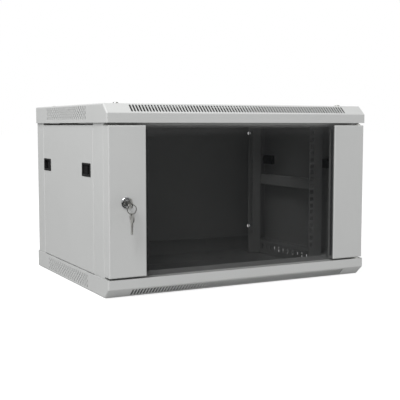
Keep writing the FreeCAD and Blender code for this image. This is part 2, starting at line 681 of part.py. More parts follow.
# ---- depth brackets, braces and rails ----------------------------------------------
def depth_bracket():
    """Lower right bracket: a channel with its web towards the equipment and closed ends."""
    front = POST_REAR
    rear = -REAR_WING
    z0 = -PLATE_INSIDE
    z1 = z0 + BRACKET_HEIGHT
    outer = BRACKET_FACE + BRACKET_LEDGE
    outline = [
        Vector(outer, front, z0),
        Vector(BRACKET_FACE, front, z0),
        Vector(BRACKET_FACE, front, z1),
        Vector(outer, front, z1),
    ]
    channel = folded(outline, FRAME_SHEET, FRAME_BEND, Vector(0, rear - front, 0))
    ends = [box(BRACKET_FACE + FRAME_SHEET / 2, outer, y0, y0 + FRAME_SHEET,
                z0 + FRAME_SHEET / 2, z1 - FRAME_SHEET / 2)
            for y0 in (front, rear - FRAME_SHEET)]
    z = -HALF_HEIGHT + BRACKET_SLOT_RISE
    holes = []
    for i in range(BRACKET_SLOTS):
        y = -BRACKET_SLOTS_FROM_WALL + (i - (BRACKET_SLOTS - 1) / 2) * BRACKET_SLOT_PITCH
        holes.append(box(BRACKET_FACE - PASS, BRACKET_FACE + 2 * FRAME_SHEET,
                         y - BRACKET_SLOT_WIDTH / 2, y + BRACKET_SLOT_WIDTH / 2,
                         z - BRACKET_SLOT_HEIGHT / 2, z + BRACKET_SLOT_HEIGHT / 2))
    for y in RAIL_SCREW_DEPTHS:
        holes.append(cross_rod(SCREW_R, y, -BRACKET_SCREW_Z, BRACKET_FACE - PASS,
                               BRACKET_FACE + 2 * FRAME_SHEET, SCREW_SIDES))
    holes += [bracket_screw_hole(front, -1), bracket_screw_hole(rear, -1)]
    return cut(fuse(channel, *ends), holes)


def bracket_screws():
    """Screws through the ends of the depth brackets, heads inside the posts."""
    screws = []
    for sx in (-1, 1):
        for sz in (-1, 1):
            x = sx * BRACKET_SCREW_X
            z = sz * BRACKET_SCREW_Z
            for y, inwards in ((POST_REAR, -1), (-REAR_WING, 1)):
                face = y + inwards * FRAME_SHEET
                head = depth_rod(SMALL_HEAD_R, x, z, face, face + inwards * SMALL_HEAD, SCREW_SIDES)
                tail = y - inwards * (FRAME_SHEET + SCREW_TAIL)
                shank = depth_rod(SMALL_SCREW_R, x, z, face, tail, SCREW_SIDES)
                screws.append(fuse(head, shank))
    return screws


def depth_brace():
    """Right-hand brace: a channel tying the front and rear rail at mid height."""
    z0 = BRACE_CENTRE_Z - BRACE_HEIGHT / 2
    front, rear = RAIL_SCREW_DEPTHS
    y0 = front - BRACE_OVERHANG
    y1 = rear + BRACE_OVERHANG
    outline = [
        Vector(BRACKET_FACE + BRACE_DEPTH, y0, z0),
        Vector(BRACKET_FACE, y0, z0),
        Vector(BRACKET_FACE, y0, z0 + BRACE_HEIGHT),
        Vector(BRACKET_FACE + BRACE_DEPTH, y0, z0 + BRACE_HEIGHT),
    ]
    bar = folded(outline, FRAME_SHEET, FRAME_BEND, Vector(0, y1 - y0, 0))
    holes = [cross_rod(SCREW_R, y, BRACE_CENTRE_Z, BRACKET_FACE - PASS,
                       BRACKET_FACE + 2 * FRAME_SHEET, SCREW_SIDES)
             for y in RAIL_SCREW_DEPTHS]
    return cut(bar, holes)


def rail(y):
    """Right-hand 19-inch rail with its face at depth y and its flange to the rear."""
    z0 = -PLATE_INSIDE + RAIL_END_GAP
    length = 2 * (PLATE_INSIDE - RAIL_END_GAP)
    inner = BRACKET_FACE - RAIL_FACE
    outline = [
        Vector(inner, y, z0),
        Vector(BRACKET_FACE, y, z0),
        Vector(BRACKET_FACE, y + RAIL_FLANGE, z0),
    ]
    bar = folded(outline, RAIL_SHEET, RAIL_BEND, Vector(0, 0, length))
    x = inner + RAIL_HOLE_IN
    holes = []
    for unit in range(UNITS):
        for i in range(RAIL_HOLES):
            z = (unit - UNITS / 2) * UNIT_HEIGHT + RAIL_HOLE_FIRST + i * RAIL_HOLE_STEP
            holes.append(box(x - RAIL_HOLE / 2, x + RAIL_HOLE / 2, y - PASS, y + 2 * RAIL_SHEET,
                             z - RAIL_HOLE / 2, z + RAIL_HOLE / 2))
    for z in (-BRACKET_SCREW_Z, BRACE_CENTRE_Z, BRACKET_SCREW_Z):
        holes.append(cross_rod(SCREW_R, y + RAIL_SCREW_SETBACK, z,
                               BRACKET_FACE - 2 * RAIL_SHEET, BRACKET_FACE + PASS, SCREW_SIDES))
    return cut(bar, holes)


def rail_screws():
    """Screws that hold the rails' flanges to the brackets and braces, head inboard."""
    inner = BRACKET_FACE - RAIL_SHEET
    tail = BRACKET_FACE + FRAME_SHEET + SCREW_TAIL
    screws = []
    for sx in (-1, 1):
        for y in RAIL_SCREW_DEPTHS:
            for z in (-BRACKET_SCREW_Z, BRACE_CENTRE_Z, BRACKET_SCREW_Z):
                head = cross_rod(RAIL_HEAD_R, y, z, sx * inner, sx * (inner - SCREW_HEAD), SCREW_SIDES)
                shank = cross_rod(SCREW_R, y, z, sx * inner, sx * tail, SCREW_SIDES)
                screws.append(fuse(head, shank))
    return screws


# ---- cover screws ------------------------------------------------------------------
def top_cover_screws():
    """Pan-head screws down through the top cover into the post tabs."""
    tail = PLATE_INSIDE - FRAME_SHEET - SCREW_TAIL
    screws = []
    for x, y in cover_screw_places():
        head = upright_rod(SCREW_HEAD_R, x, y, HALF_HEIGHT, HALF_HEIGHT + SCREW_HEAD, 2 * SCREW_SIDES)
        screws.append(fuse(head, upright_rod(SCREW_R, x, y, tail, HALF_HEIGHT, SCREW_SIDES)))
    return screws


def flush_heads():
    """The sunk part of the bottom cover's screws, which is also its countersinks."""
    heads = []
    for x, y in cover_screw_places():
        rims = []
        for radius, z in ((FLUSH_HEAD_R, -HALF_HEIGHT), (SCREW_R, -PLATE_INSIDE)):
            corners = [Vector(x, y, z) + corner for corner in regular_corners(radius, SCREW_SIDES)]
            rims.append(Part.makePolygon(corners + [corners[0]]))
        heads.append(Part.makeLoft(rims, True, True))
    return heads


def bottom_cover_screws():
    """Screws up through the bottom cover, with flat heads flush in the plate."""
    tail = -PLATE_INSIDE + FRAME_SHEET + SCREW_TAIL
    return [fuse(head, upright_rod(SCREW_R, x, y, -PLATE_INSIDE, tail, SCREW_SIDES))
            for head, (x, y) in zip(flush_heads(), cover_screw_places())]


# ---- side panels and latches -------------------------------------------------------
def latch_places():
    """Middle of the front and of the rear latch along the panel, and where each points."""
    return ((PANEL_FRONT + LATCH_FRONT_FROM_EDGE, -1), (PANEL_REAR - LATCH_REAR_FROM_EDGE, 1))


def side_panel():
    """Right-hand side panel: a shallow pan with two hanging tabs along its foot."""
    block = box(BODY_SIDE - PANEL_RETURN, BODY_SIDE, PANEL_FRONT, PANEL_REAR, PANEL_BOTTOM, PANEL_TOP)
    inside = BODY_SIDE - PANEL_RETURN
    panel = tray(block, lambda b: b.XMin > BODY_SIDE - NEAR, lambda b: b.XMax < inside + NEAR,
                 PANEL_BEND, PANEL_SHEET)
    tabs = []
    for y in (PANEL_FRONT + PANEL_TAB_FROM_EDGE, PANEL_REAR - PANEL_TAB_FROM_EDGE):
        tabs.append(box(BODY_SIDE - PANEL_TAB_INSET - PANEL_SHEET, BODY_SIDE - PANEL_TAB_INSET,
                        y - PANEL_TAB_WIDTH / 2, y + PANEL_TAB_WIDTH / 2,
                        PANEL_BOTTOM - PANEL_TAB_DROP, PANEL_BOTTOM + PANEL_SHEET))
    panel = fuse(panel, *tabs)
    holes = []
    for y, point in latch_places():
        holes.append(box(BODY_SIDE - 2 * PANEL_SHEET, BODY_SIDE + PASS,
                         y - LATCH_BODY_Y / 2, y + LATCH_BODY_Y / 2,
                         LATCH_Z - LATCH_BODY_Z / 2, LATCH_Z + LATCH_BODY_Z / 2))
    holes += [tongue_window(PANEL_FRONT), tongue_window(PANEL_REAR)]
    return cut(panel, holes)


def latch_housing(y, point):
    """Black moulded frame and pocket of a latch, seated in the panel's cut-out."""
    inner = BODY_SIDE - LATCH_BODY_DEPTH
    frame = box(BODY_SIDE, BODY_SIDE + LATCH_FRAME_PROUD,
                y - LATCH_FRAME_Y / 2, y + LATCH_FRAME_Y / 2,
                LATCH_Z - LATCH_FRAME_Z / 2, LATCH_Z + LATCH_FRAME_Z / 2)
    well = box(inner, BODY_SIDE,
               y - LATCH_BODY_Y / 2, y + LATCH_BODY_Y / 2,
               LATCH_Z - LATCH_BODY_Z / 2, LATCH_Z + LATCH_BODY_Z / 2)
    floor = inner + LATCH_WALL
    hollow = box(floor, BODY_SIDE + LATCH_FRAME_PROUD + PASS,
                 y - LATCH_BODY_Y / 2 + LATCH_WALL, y + LATCH_BODY_Y / 2 - LATCH_WALL,
                 LATCH_Z - LATCH_BODY_Z / 2 + LATCH_WALL, LATCH_Z + LATCH_BODY_Z / 2 - LATCH_WALL)
    exit_y = y + point * LATCH_BODY_Y / 2
    tongue_gate = box(TONGUE_OUTER - TONGUE_X - LATCH_GAP, TONGUE_OUTER + LATCH_GAP,
                      exit_y - 2 * LATCH_WALL, exit_y + 2 * LATCH_WALL,
                      LATCH_Z - TONGUE_Z / 2 - LATCH_GAP, LATCH_Z + TONGUE_Z / 2 + LATCH_GAP)
    return cut(fuse(frame, well), [hollow, tongue_gate])


def latch_slider(y, point):
    """Thumb block and tongue of a latch, drawn in its open place."""
    start = y - point * (LATCH_BODY_Y / 2 - LATCH_WALL - LATCH_GAP)
    thumb_end = start + point * LATCH_THUMB_Y
    half = LATCH_BODY_Z / 2 - LATCH_WALL - LATCH_GAP
    floor = BODY_SIDE - LATCH_BODY_DEPTH + LATCH_WALL + LATCH_GAP
    top = BODY_SIDE - LATCH_THUMB_SUNK
    thumb = box(floor, top, start, thumb_end, LATCH_Z - half, LATCH_Z + half)
    ribs = []
    for i in range(LATCH_RIBS):
        near = start + point * (LATCH_RIB_FIRST + i * LATCH_RIB_PITCH)
        ribs.append(box(top, top + LATCH_RIB_HEIGHT, near, near + point * LATCH_RIB_WIDTH,
                        LATCH_Z - half, LATCH_Z + half))
    end = POST_REAR if point < 0 else -REAR_WING
    tip = end - point * TONGUE_FREE
    tongue = box(TONGUE_OUTER - TONGUE_X, TONGUE_OUTER, thumb_end - point * PASS, tip,
                 LATCH_Z - TONGUE_Z / 2, LATCH_Z + TONGUE_Z / 2)
    return fuse(thumb, tongue, *ribs)


# ---- door --------------------------------------------------------------------------
def door_strip():
    """Right-hand steel strip of the door: a pan open to the rear."""
    block = box(STRIP_INNER, BODY_SIDE, FRONT, DOOR_REAR, DOOR_BOTTOM, DOOR_TOP)
    return tray(block, lambda b: b.YMax < FRONT + NEAR, lambda b: b.YMin > DOOR_REAR - NEAR,
                DOOR_BEND, DOOR_SHEET)


def door_strip_right():
    bore = upright_rod(PIN_R + PIN_RUNNING, HINGE_X, HINGE_Y, DOOR_BOTTOM - PASS, DOOR_TOP + PASS)
    return cut(door_strip(), [bore])


def door_strip_left():
    hole = depth_rod(LOCK_BARREL_R + FIT_GAP / 2, LOCK_X, LOCK_Z, FRONT - PASS, FRONT + 2 * DOOR_SHEET)
    return cut(mirror_x(door_strip()), [hole])


def glass_ledge():
    """Right-hand angle that carries the edge of the glass, welded to the strip."""
    z0 = DOOR_BOTTOM + LEDGE_END_GAP
    length = DOOR_TOP - DOOR_BOTTOM - 2 * LEDGE_END_GAP
    outline = [
        Vector(STRIP_INNER - LEDGE_WIDTH, LEDGE_FACE, z0),
        Vector(STRIP_INNER, LEDGE_FACE, z0),
        Vector(STRIP_INNER, LEDGE_FACE + LEDGE_LEG, z0),
    ]
    return folded(outline, LEDGE_SHEET, LEDGE_BEND, Vector(0, 0, length))


def glass_tape():
    outer = GLASS_HALF - TAPE_INSET
    return box(outer - TAPE_WIDTH, outer, GLASS_REAR, LEDGE_FACE,
               DOOR_BOTTOM + LEDGE_END_GAP, DOOR_TOP - LEDGE_END_GAP)


def door_glass():
    pane = box(-GLASS_HALF, GLASS_HALF, GLASS_FRONT, GLASS_REAR, DOOR_BOTTOM, DOOR_TOP)
    return pane.makeChamfer(GLASS_ARRIS, pane.Edges)


# ---- hinge -------------------------------------------------------------------------
def hinge_pin_bottom():
    """Fixed lower pin: through the crossbar, with a collar inside the strip."""
    low = -CROSSBAR_TOP_Z - FRAME_SHEET - PIN_THROUGH
    floor = DOOR_BOTTOM + DOOR_SHEET
    pin = upright_rod(PIN_R, HINGE_X, HINGE_Y, low, floor + BOTTOM_PIN_INSIDE)
    return fuse(pin, upright_rod(PIN_COLLAR_R, HINGE_X, HINGE_Y, floor, floor + PIN_COLLAR))


def washer(z0, z1):
    ring = upright_rod(WASHER_R, HINGE_X, HINGE_Y, z0, z1)
    return cut(ring, [upright_rod(PIN_R + PIN_RUNNING, HINGE_X, HINGE_Y, z0 - PASS, z1 + PASS)])


def hinge_washer_bottom():
    return washer(-CROSSBAR_TOP_Z, DOOR_BOTTOM - WASHER_LIFT)


def hinge_washer_top():
    return washer(DOOR_TOP, DOOR_TOP + TOP_WASHER)


def hinge_pin_top():
    """Sprung upper pin with a collar for its spring and a bent handle at its foot."""
    top = CROSSBAR_TOP_Z + FRAME_SHEET + PIN_THROUGH
    foot = GUIDE_TOP - GUIDE_SHEET - TOP_PIN_TAIL
    pin = upright_rod(PIN_R, HINGE_X, HINGE_Y, foot, top)
    collar = upright_rod(PIN_COLLAR_R, HINGE_X, HINGE_Y, COLLAR_TOP - PIN_COLLAR, COLLAR_TOP)
    handle = cross_rod(PIN_HANDLE_R, HINGE_Y, foot + PIN_HANDLE_R, HINGE_X, HINGE_X - PIN_HANDLE)
    return fuse(pin, collar, handle)


def hinge_pin_guide():
    """Angle inside the strip that guides the upper pin and carries its spring."""
    outline = [
        Vector(HINGE_X - GUIDE_LEG / 2, FRONT + DOOR_SHEET, GUIDE_TOP - GUIDE_LEG),
        Vector(HINGE_X - GUIDE_LEG / 2, FRONT + DOOR_SHEET, GUIDE_TOP),
        Vector(HINGE_X - GUIDE_LEG / 2, FRONT + DOOR_SHEET + GUIDE_LEG, GUIDE_TOP),
    ]
    angle = folded(outline[::-1], GUIDE_SHEET, GUIDE_BEND, Vector(GUIDE_LEG, 0, 0))
    hole = upright_rod(PIN_R + PIN_RUNNING, HINGE_X, HINGE_Y, GUIDE_TOP - 2 * GUIDE_SHEET, GUIDE_TOP + PASS)
    return cut(angle, [hole])


def hinge_spring():
    """Compression spring between the guide and the collar of the upper pin, its round
    wire drawn square and its turns drawn as short straight stretches."""
    inner = PIN_R + SPRING_GAP
    outer = inner + SPRING_WIRE
    low = GUIDE_TOP + SPRING_GAP
    rise = SPRING_LENGTH - SPRING_WIRE - 2 * SPRING_GAP
    steps = SPRING_TURNS * SPRING_STEPS
    sections = []
    for i in range(steps + 1):
        wire = Part.makePolygon([Vector(inner, 0, 0), Vector(outer, 0, 0),
                                 Vector(outer, 0, SPRING_WIRE), Vector(inner, 0, SPRING_WIRE),
                                 Vector(inner, 0, 0)])
        wire.rotate(Vector(0, 0, 0), Vector(0, 0, 1), 360 * i / SPRING_STEPS)
        wire.translate(Vector(HINGE_X, HINGE_Y, low + rise * i / steps))
        sections.append(wire)
    return Part.makeLoft(sections, True, True)


# ---- cam lock ----------------------------------------------------------------------
def lock_body():
    """Bezel and barrel of the lock, bored for its plug."""
    slope_end = LOCK_FACE + LOCK_BEZEL_SLOPE
    face = Part.makeCone(LOCK_BEZEL_R - LOCK_BEZEL_SLOPE, LOCK_BEZEL_R, LOCK_BEZEL_SLOPE,
                         Vector(LOCK_X, LOCK_FACE, LOCK_Z), Vector(0, 1, 0))
    rim = depth_rod(LOCK_BEZEL_R, LOCK_X, LOCK_Z, slope_end, FRONT)
    barrel = depth_rod(LOCK_BARREL_R, LOCK_X, LOCK_Z, FRONT, FRONT + LOCK_BARREL)
    bore = depth_rod(LOCK_PLUG_R + LOCK_RUNNING, LOCK_X, LOCK_Z,
                     LOCK_FACE - PASS, FRONT + LOCK_BARREL + PASS)
    return cut(fuse(face, rim, barrel), [bore])


def lock_nut():
    y = FRONT + DOOR_SHEET
    circumradius = LOCK_NUT_FLATS / 2 / math.cos(math.pi / 6)
    nut = depth_rod(circumradius, LOCK_X, LOCK_Z, y, y + LOCK_NUT, 6)
    return cut(nut, [depth_rod(LOCK_BARREL_R, LOCK_X, LOCK_Z, y - PASS, y + LOCK_NUT + PASS)])


def lock_plug():
    """Turning plug with its keyway upright."""
    plug = depth_rod(LOCK_PLUG_R, LOCK_X, LOCK_Z, PLUG_FACE, CAM_Y)
    keyway = box(LOCK_X - KEY_THICK / 2 - KEYWAY_GAP, LOCK_X + KEY_THICK / 2 + KEYWAY_GAP,
                 PLUG_FACE - PASS, KEY_SHOULDER + KEY_INSERTED + 2 * KEYWAY_GAP,
                 LOCK_Z - KEY_BLADE / 2 - KEYWAY_GAP, LOCK_Z + KEY_BLADE / 2 + KEYWAY_GAP)
    return cut(plug, [keyway])


def lock_cam():
    """Flat cam hanging down, clear of the post, on the end of the plug."""
    blade = box(LOCK_X - CAM_WIDTH / 2, LOCK_X + CAM_WIDTH / 2, CAM_Y, CAM_Y + CAM_SHEET,
                LOCK_Z - CAM_LENGTH, LOCK_Z)
    eye = depth_rod(CAM_WIDTH / 2, LOCK_X, LOCK_Z, CAM_Y, CAM_Y + CAM_SHEET)
    return fuse(blade, eye)


def lock_cam_screw():
    y = CAM_Y + CAM_SHEET
    return depth_rod(CAM_SCREW_R, LOCK_X, LOCK_Z, y, y + CAM_SCREW_HEAD, SCREW_SIDES)


def lock_key():
    """A key lying along Y: blade behind the shoulder, neck and round bow in front."""
    x0 = LOCK_X - KEY_THICK / 2
    x1 = LOCK_X + KEY_THICK / 2
    stem = box(x0, x1, BOW_CENTRE_Y, KEY_SHOULDER + KEY_INSERTED,
               LOCK_Z - KEY_BLADE / 2, LOCK_Z + KEY_BLADE / 2)
    bow = cross_rod(KEY_BOW_R, BOW_CENTRE_Y, LOCK_Z, x0, x1)
    hole = cross_rod(KEY_HOLE_R, KEY_HOLE_Y, LOCK_Z, x0 - PASS, x1 + PASS)
    return cut(fuse(stem, bow), [hole])


def key_ring():
    """Flat ring that links the two keys."""
    y0 = KEY_HOLE_Y - RING_WIRE / 2
    y1 = KEY_HOLE_Y + RING_WIRE / 2
    disc = depth_rod(RING_R + RING_WIRE / 2, LOCK_X, RING_CENTRE_Z, y0, y1)
    return cut(disc, [depth_rod(RING_R - RING_WIRE / 2, LOCK_X, RING_CENTRE_Z, y0 - PASS, y1 + PASS)])


def spare_key():
    """The second key, hanging bow up from the ring."""
    key = lock_key()
    key.rotate(Vector(LOCK_X, KEY_HOLE_Y, LOCK_Z), Vector(1, 0, 0), -90)
    key.translate(Vector(0, 0, SPARE_HOLE_Z - LOCK_Z))
    return key


# ---- nodes -------------------------------------------------------------------------
def write_parts():
    os.makedirs("parts", exist_ok=True)
    cover = plain_cover()
    save("bottom_cover", cut(cover, flush_heads()))
    save("top_cover", mirror_z(cut(cover, fan_grilles())))
    plate = cable_plate()
    plate_screws = cable_plate_screws()
    save("bottom_cable_plate", plate)
    save("top_cable_plate", mirror_z(plate))
    save("cable_plate_screws", group(plate_screws + [mirror_z(s) for s in plate_screws]))
    save("top_cover_screws", group(top_cover_screws()))
    save("bottom_cover_screws", group(bottom_cover_screws()))

    post = front_post()
    save("front_post_right", post)
    save("front_post_left", mirror_x(post))
    save("rear_panel", rear_panel())
    crossbar = front_crossbar()
    save("front_crossbar_top", crossbar)
    save("front_crossbar_bottom", mirror_z(crossbar))
    save("crossbar_screws", group(crossbar_screws()))

    bracket = depth_bracket()
    save("depth_bracket_bottom_right", bracket)
    save("depth_bracket_bottom_left", mirror_x(bracket))
    save("depth_bracket_top_right", mirror_z(bracket))
    save("depth_bracket_top_left", mirror_x(mirror_z(bracket)))
    save("bracket_screws", group(bracket_screws()))
    brace = depth_brace()
    save("depth_brace_right", brace)
    save("depth_brace_left", mirror_x(brace))
    for place, y in (("front", FRONT_RAIL_Y), ("rear", REAR_RAIL_Y)):
        one_rail = rail(y)
        save("rail_" + place + "_right", one_rail)
        save("rail_" + place + "_left", mirror_x(one_rail))
    save("rail_screws", group(rail_screws()))

    panel = side_panel()
    save("side_panel_right", panel)
    save("side_panel_left", mirror_x(panel))
    for place, (y, point) in zip(("front", "rear"), latch_places()):
        housing = latch_housing(y, point)
        slider = latch_slider(y, point)
        save("latch_housing_right_" + place, housing)
        save("latch_housing_left_" + place, mirror_x(housing))
        save("latch_slider_right_" + place, slider)
        save("latch_slider_left_" + place, mirror_x(slider))

    save("door_strip_right", door_strip_right())
    save("door_strip_left", door_strip_left())
    save("door_glass", door_glass())
    ledge = glass_ledge()
    save("glass_ledge_right", ledge)
    save("glass_ledge_left", mirror_x(ledge))
    tape = glass_tape()
    save("glass_tape_right", tape)
    save("glass_tape_left", mirror_x(tape))

    save("hinge_pin_bottom", hinge_pin_bottom())
    save("hinge_washer_bottom", hinge_washer_bottom())
    save("hinge_washer_top", hinge_washer_top())
    save("hinge_pin_top", hinge_pin_top())
    save("hinge_pin_guide", hinge_pin_guide())
    save("hinge_spring", hinge_spring())

    save("lock_body", lock_body())
    save("lock_nut", lock_nut())
    save("lock_plug", lock_plug())
    save("lock_cam", lock_cam())
    save("lock_cam_screw", lock_cam_screw())
    save("lock_key", lock_key())
    save("key_ring", key_ring())
    save("spare_key", spare_key())


write_parts()
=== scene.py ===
import json
import math
import bmesh
import bpy
from mathutils import Matrix, Vector


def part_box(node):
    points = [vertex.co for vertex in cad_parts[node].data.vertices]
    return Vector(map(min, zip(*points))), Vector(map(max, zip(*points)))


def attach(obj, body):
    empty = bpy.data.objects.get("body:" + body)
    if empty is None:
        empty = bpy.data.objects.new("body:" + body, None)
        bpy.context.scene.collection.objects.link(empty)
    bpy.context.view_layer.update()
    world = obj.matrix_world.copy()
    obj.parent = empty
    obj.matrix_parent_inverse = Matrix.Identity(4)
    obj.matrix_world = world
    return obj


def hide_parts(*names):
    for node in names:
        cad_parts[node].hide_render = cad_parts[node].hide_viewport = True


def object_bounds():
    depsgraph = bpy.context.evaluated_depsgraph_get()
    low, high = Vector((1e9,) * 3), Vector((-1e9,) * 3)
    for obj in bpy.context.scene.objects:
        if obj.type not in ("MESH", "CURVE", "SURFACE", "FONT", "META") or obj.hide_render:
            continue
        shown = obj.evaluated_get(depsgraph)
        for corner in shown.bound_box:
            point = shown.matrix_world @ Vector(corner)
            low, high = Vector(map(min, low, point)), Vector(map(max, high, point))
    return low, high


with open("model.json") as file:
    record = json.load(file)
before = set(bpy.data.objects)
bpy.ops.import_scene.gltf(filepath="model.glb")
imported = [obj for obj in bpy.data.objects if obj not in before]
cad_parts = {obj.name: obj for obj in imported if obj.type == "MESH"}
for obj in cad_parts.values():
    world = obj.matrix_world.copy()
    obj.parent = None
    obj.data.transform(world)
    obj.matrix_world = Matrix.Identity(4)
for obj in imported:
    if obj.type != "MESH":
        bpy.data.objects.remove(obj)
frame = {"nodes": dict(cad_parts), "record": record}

cad_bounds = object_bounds()

MM = 0.001
BEYOND = 200 * MM           # from the middle, past the top and the foot of the cabinet
RIGHT = Vector((1, 0, 0))
REAR = Vector((0, 1, 0))
UP = Vector((0, 0, 1))
OUT = -REAR


# ---- colours and nodes ----
def linear(hex_colour):
    """An sRGB hex value as the linear RGBA that a shader socket takes."""
    channels = [int(hex_colour[i:i + 2], 16) / 255 for i in (1, 3, 5)]
    return [c / 12.92 if c <= 0.04045 else ((c + 0.055) / 1.055) ** 2.4 for c in channels] + [1.0]


def add(tree, kind, inputs=None, stops=(), **settings):
    """Adds a node and sets it up. An input takes a value, another node's output, or a node,
    which stands for its first output. Stops are the places and colours of a colour ramp."""
    made = tree.nodes.new(kind)
    for name, value in settings.items():
        setattr(made, name, value)
    for key, value in (inputs or {}).items():
        if isinstance(value, bpy.types.Node):
            value = value.outputs[0]
        if isinstance(value, bpy.types.NodeSocket):
            tree.links.new(value, made.inputs[key])
        else:
            made.inputs[key].default_value = value
    if stops:
        for stop, (place, colour) in zip(made.color_ramp.elements, stops):
            stop.position = place
            stop.color = linear(colour)
    return made


# ---- finishes: each function adds the nodes of one and returns its shader ----
def powder_coat(tree, dark, light):
    """Polyester powder baked on steel: an even light grey whose soft sheen breaks up over
    a fine orange peel, with a barely visible cloud where the film is thicker."""
    place = add(tree, "ShaderNodeTexCoord").outputs["Object"]
    cloud = add(tree, "ShaderNodeTexNoise", {"Vector": place, "Scale": 1 / (140 * MM), "Detail": 3.0})
    waves = add(tree, "ShaderNodeTexNoise", {"Vector": place, "Scale": 1 / (1.1 * MM), "Detail": 2.0})
    specks = add(tree, "ShaderNodeTexNoise", {"Vector": place, "Scale": 1 / (0.5 * MM), "Detail": 1.0})
    colour = add(tree, "ShaderNodeValToRGB", {"Fac": cloud}, [(0.3, dark), (0.7, light)])
    peel = add(tree, "ShaderNodeBump", {"Height": waves, "Strength": 0.4, "Distance": 0.012 * MM})
    rough = add(tree, "ShaderNodeMapRange", {"Value": specks, "To Min": 0.38, "To Max": 0.5})
    return add(tree, "ShaderNodeBsdfPrincipled",
               {"Base Color": colour, "Normal": peel, "Roughness": rough, "IOR": 1.5})


def zinc_plate(tree):
    """Bright zinc over turned steel: a slightly warm and cool mottle with fine grain."""
    place = add(tree, "ShaderNodeTexCoord").outputs["Object"]
    mottle = add(tree, "ShaderNodeTexNoise", {"Vector": place, "Scale": 1 / (3 * MM), "Detail": 2.0})
    grain = add(tree, "ShaderNodeTexNoise", {"Vector": place, "Scale": 1 / (0.6 * MM), "Detail": 2.0})
    colour = add(tree, "ShaderNodeValToRGB", {"Fac": mottle}, [(0.3, "#B9BCC2"), (0.7, "#CFCCC2")])
    rough = add(tree, "ShaderNodeMapRange", {"Value": grain, "To Min": 0.28, "To Max": 0.42})
    return add(tree, "ShaderNodeBsdfPrincipled",
               {"Base Color": colour, "Roughness": rough, "Metallic": 1.0})


def chrome_plate(tree):
    """Polished chrome over a zinc casting: nearly a mirror, with faint polishing haze."""
    place = add(tree, "ShaderNodeTexCoord").outputs["Object"]
    haze = add(tree, "ShaderNodeTexNoise", {"Vector": place, "Scale": 1 / (2 * MM), "Detail": 2.0})
    rough = add(tree, "ShaderNodeMapRange", {"Value": haze, "To Min": 0.07, "To Max": 0.16})
    return add(tree, "ShaderNodeBsdfPrincipled",
               {"Base Color": linear("#D3D4D6"), "Roughness": rough, "Metallic": 1.0})


def satin_nickel(tree):
    """Nickel on stamped brass: short drawn scratches along the key, which blur its sheen."""
    place = add(tree, "ShaderNodeTexCoord").outputs["Object"]
    drawn = add(tree, "ShaderNodeMapping", {"Vector": place, "Scale": (4.0, 0.4, 0.4)})
    lines = add(tree, "ShaderNodeTexNoise", {"Vector": drawn, "Scale": 1 / (0.5 * MM), "Detail": 3.0})
    colour = add(tree, "ShaderNodeValToRGB", {"Fac": lines}, [(0.3, "#BEBDBA"), (0.7, "#D2D1CD")])
    rough = add(tree, "ShaderNodeMapRange", {"Value": lines, "To Min": 0.22, "To Max": 0.38})
    scratch = add(tree, "ShaderNodeBump", {"Height": lines, "Strength": 0.25, "Distance": 0.01 * MM})
    return add(tree, "ShaderNodeBsdfPrincipled",
               {"Base Color": colour, "Roughness": rough, "Normal": scratch, "Metallic": 1.0})


def moulded_plastic(tree, dark, light, roughness, grain_size):
    """Plastic from a spark-eroded mould, or foam: a dull even skin of tiny pits."""
    place = add(tree, "ShaderNodeTexCoord").outputs["Object"]
    grain = add(tree, "ShaderNodeTexNoise", {"Vector": place, "Scale": 1 / grain_size, "Detail": 1.0})
    colour = add(tree, "ShaderNodeValToRGB", {"Fac": grain}, [(0.3, dark), (0.7, light)])
    pits = add(tree, "ShaderNodeBump", {"Height": grain, "Strength": 0.35, "Distance": 0.03 * MM})
    return add(tree, "ShaderNodeBsdfPrincipled",
               {"Base Color": colour, "Normal": pits, "Roughness": roughness, "IOR": 1.46})


def smoked_glass(tree):
    """Toughened float glass with a grey body tint, over which the room is faintly mirrored.
    The tint is the share of light that the pane holds back, so the inside shows dimly."""
    place = add(tree, "ShaderNodeTexCoord").outputs["Object"]
    drift = add(tree, "ShaderNodeTexNoise", {"Vector": place, "Scale": 1 / (220 * MM), "Detail": 1.0})
    tint = add(tree, "ShaderNodeValToRGB", {"Fac": drift}, [(0.3, "#1E1F20"), (0.7, "#222324")])
    return add(tree, "ShaderNodeBsdfPrincipled",
               {"Base Color": tint, "Roughness": 0.03, "IOR": 1.5, "Specular IOR Level": 0.5,
                "Alpha": 0.38})


def new_material(name, finish, *looks):
    """A material of the finish that the given function makes."""
    material = bpy.data.materials.new(name)
    material.use_nodes = True
    tree = material.node_tree
    tree.nodes.clear()
    add(tree, "ShaderNodeOutputMaterial", {"Surface": finish(tree, *looks)})
    return material


MATERIALS = {
    "light_grey_powder_coat": new_material("light_grey_powder_coat", powder_coat, "#CACBCA", "#CDCECD"),
    "zinc_plated_steel": new_material("bright_zinc_plate", zinc_plate),
    "latch_plastic": new_material("black_moulded_abs", moulded_plastic, "#151516", "#1D1D1E",
                                  0.45, 0.4 * MM),
    "smoked_glass": new_material("smoked_float_glass", smoked_glass),
    "foam_tape": new_material("grey_acrylic_foam_tape", moulded_plastic, "#5E5F60", "#6C6D6E",
                              0.9, 1.2 * MM),
    "nylon": new_material("natural_nylon", moulded_plastic, "#DADAD5", "#E2E2DE", 0.4, 0.4 * MM),
    "lock_chrome": new_material("polished_chrome", chrome_plate),
    "nickel_plated_key": new_material("satin_nickel", satin_nickel),
}

slots = {part["node"]: part["material_slot"] for part in frame["record"]["subparts"]}
for node_name, cad_object in frame["nodes"].items():
    cad_object.data.materials.clear()
    cad_object.data.materials.append(MATERIALS[slots[node_name]])


# ---- flat outlines, as lists of pairs ----
BEND_STEPS = 6


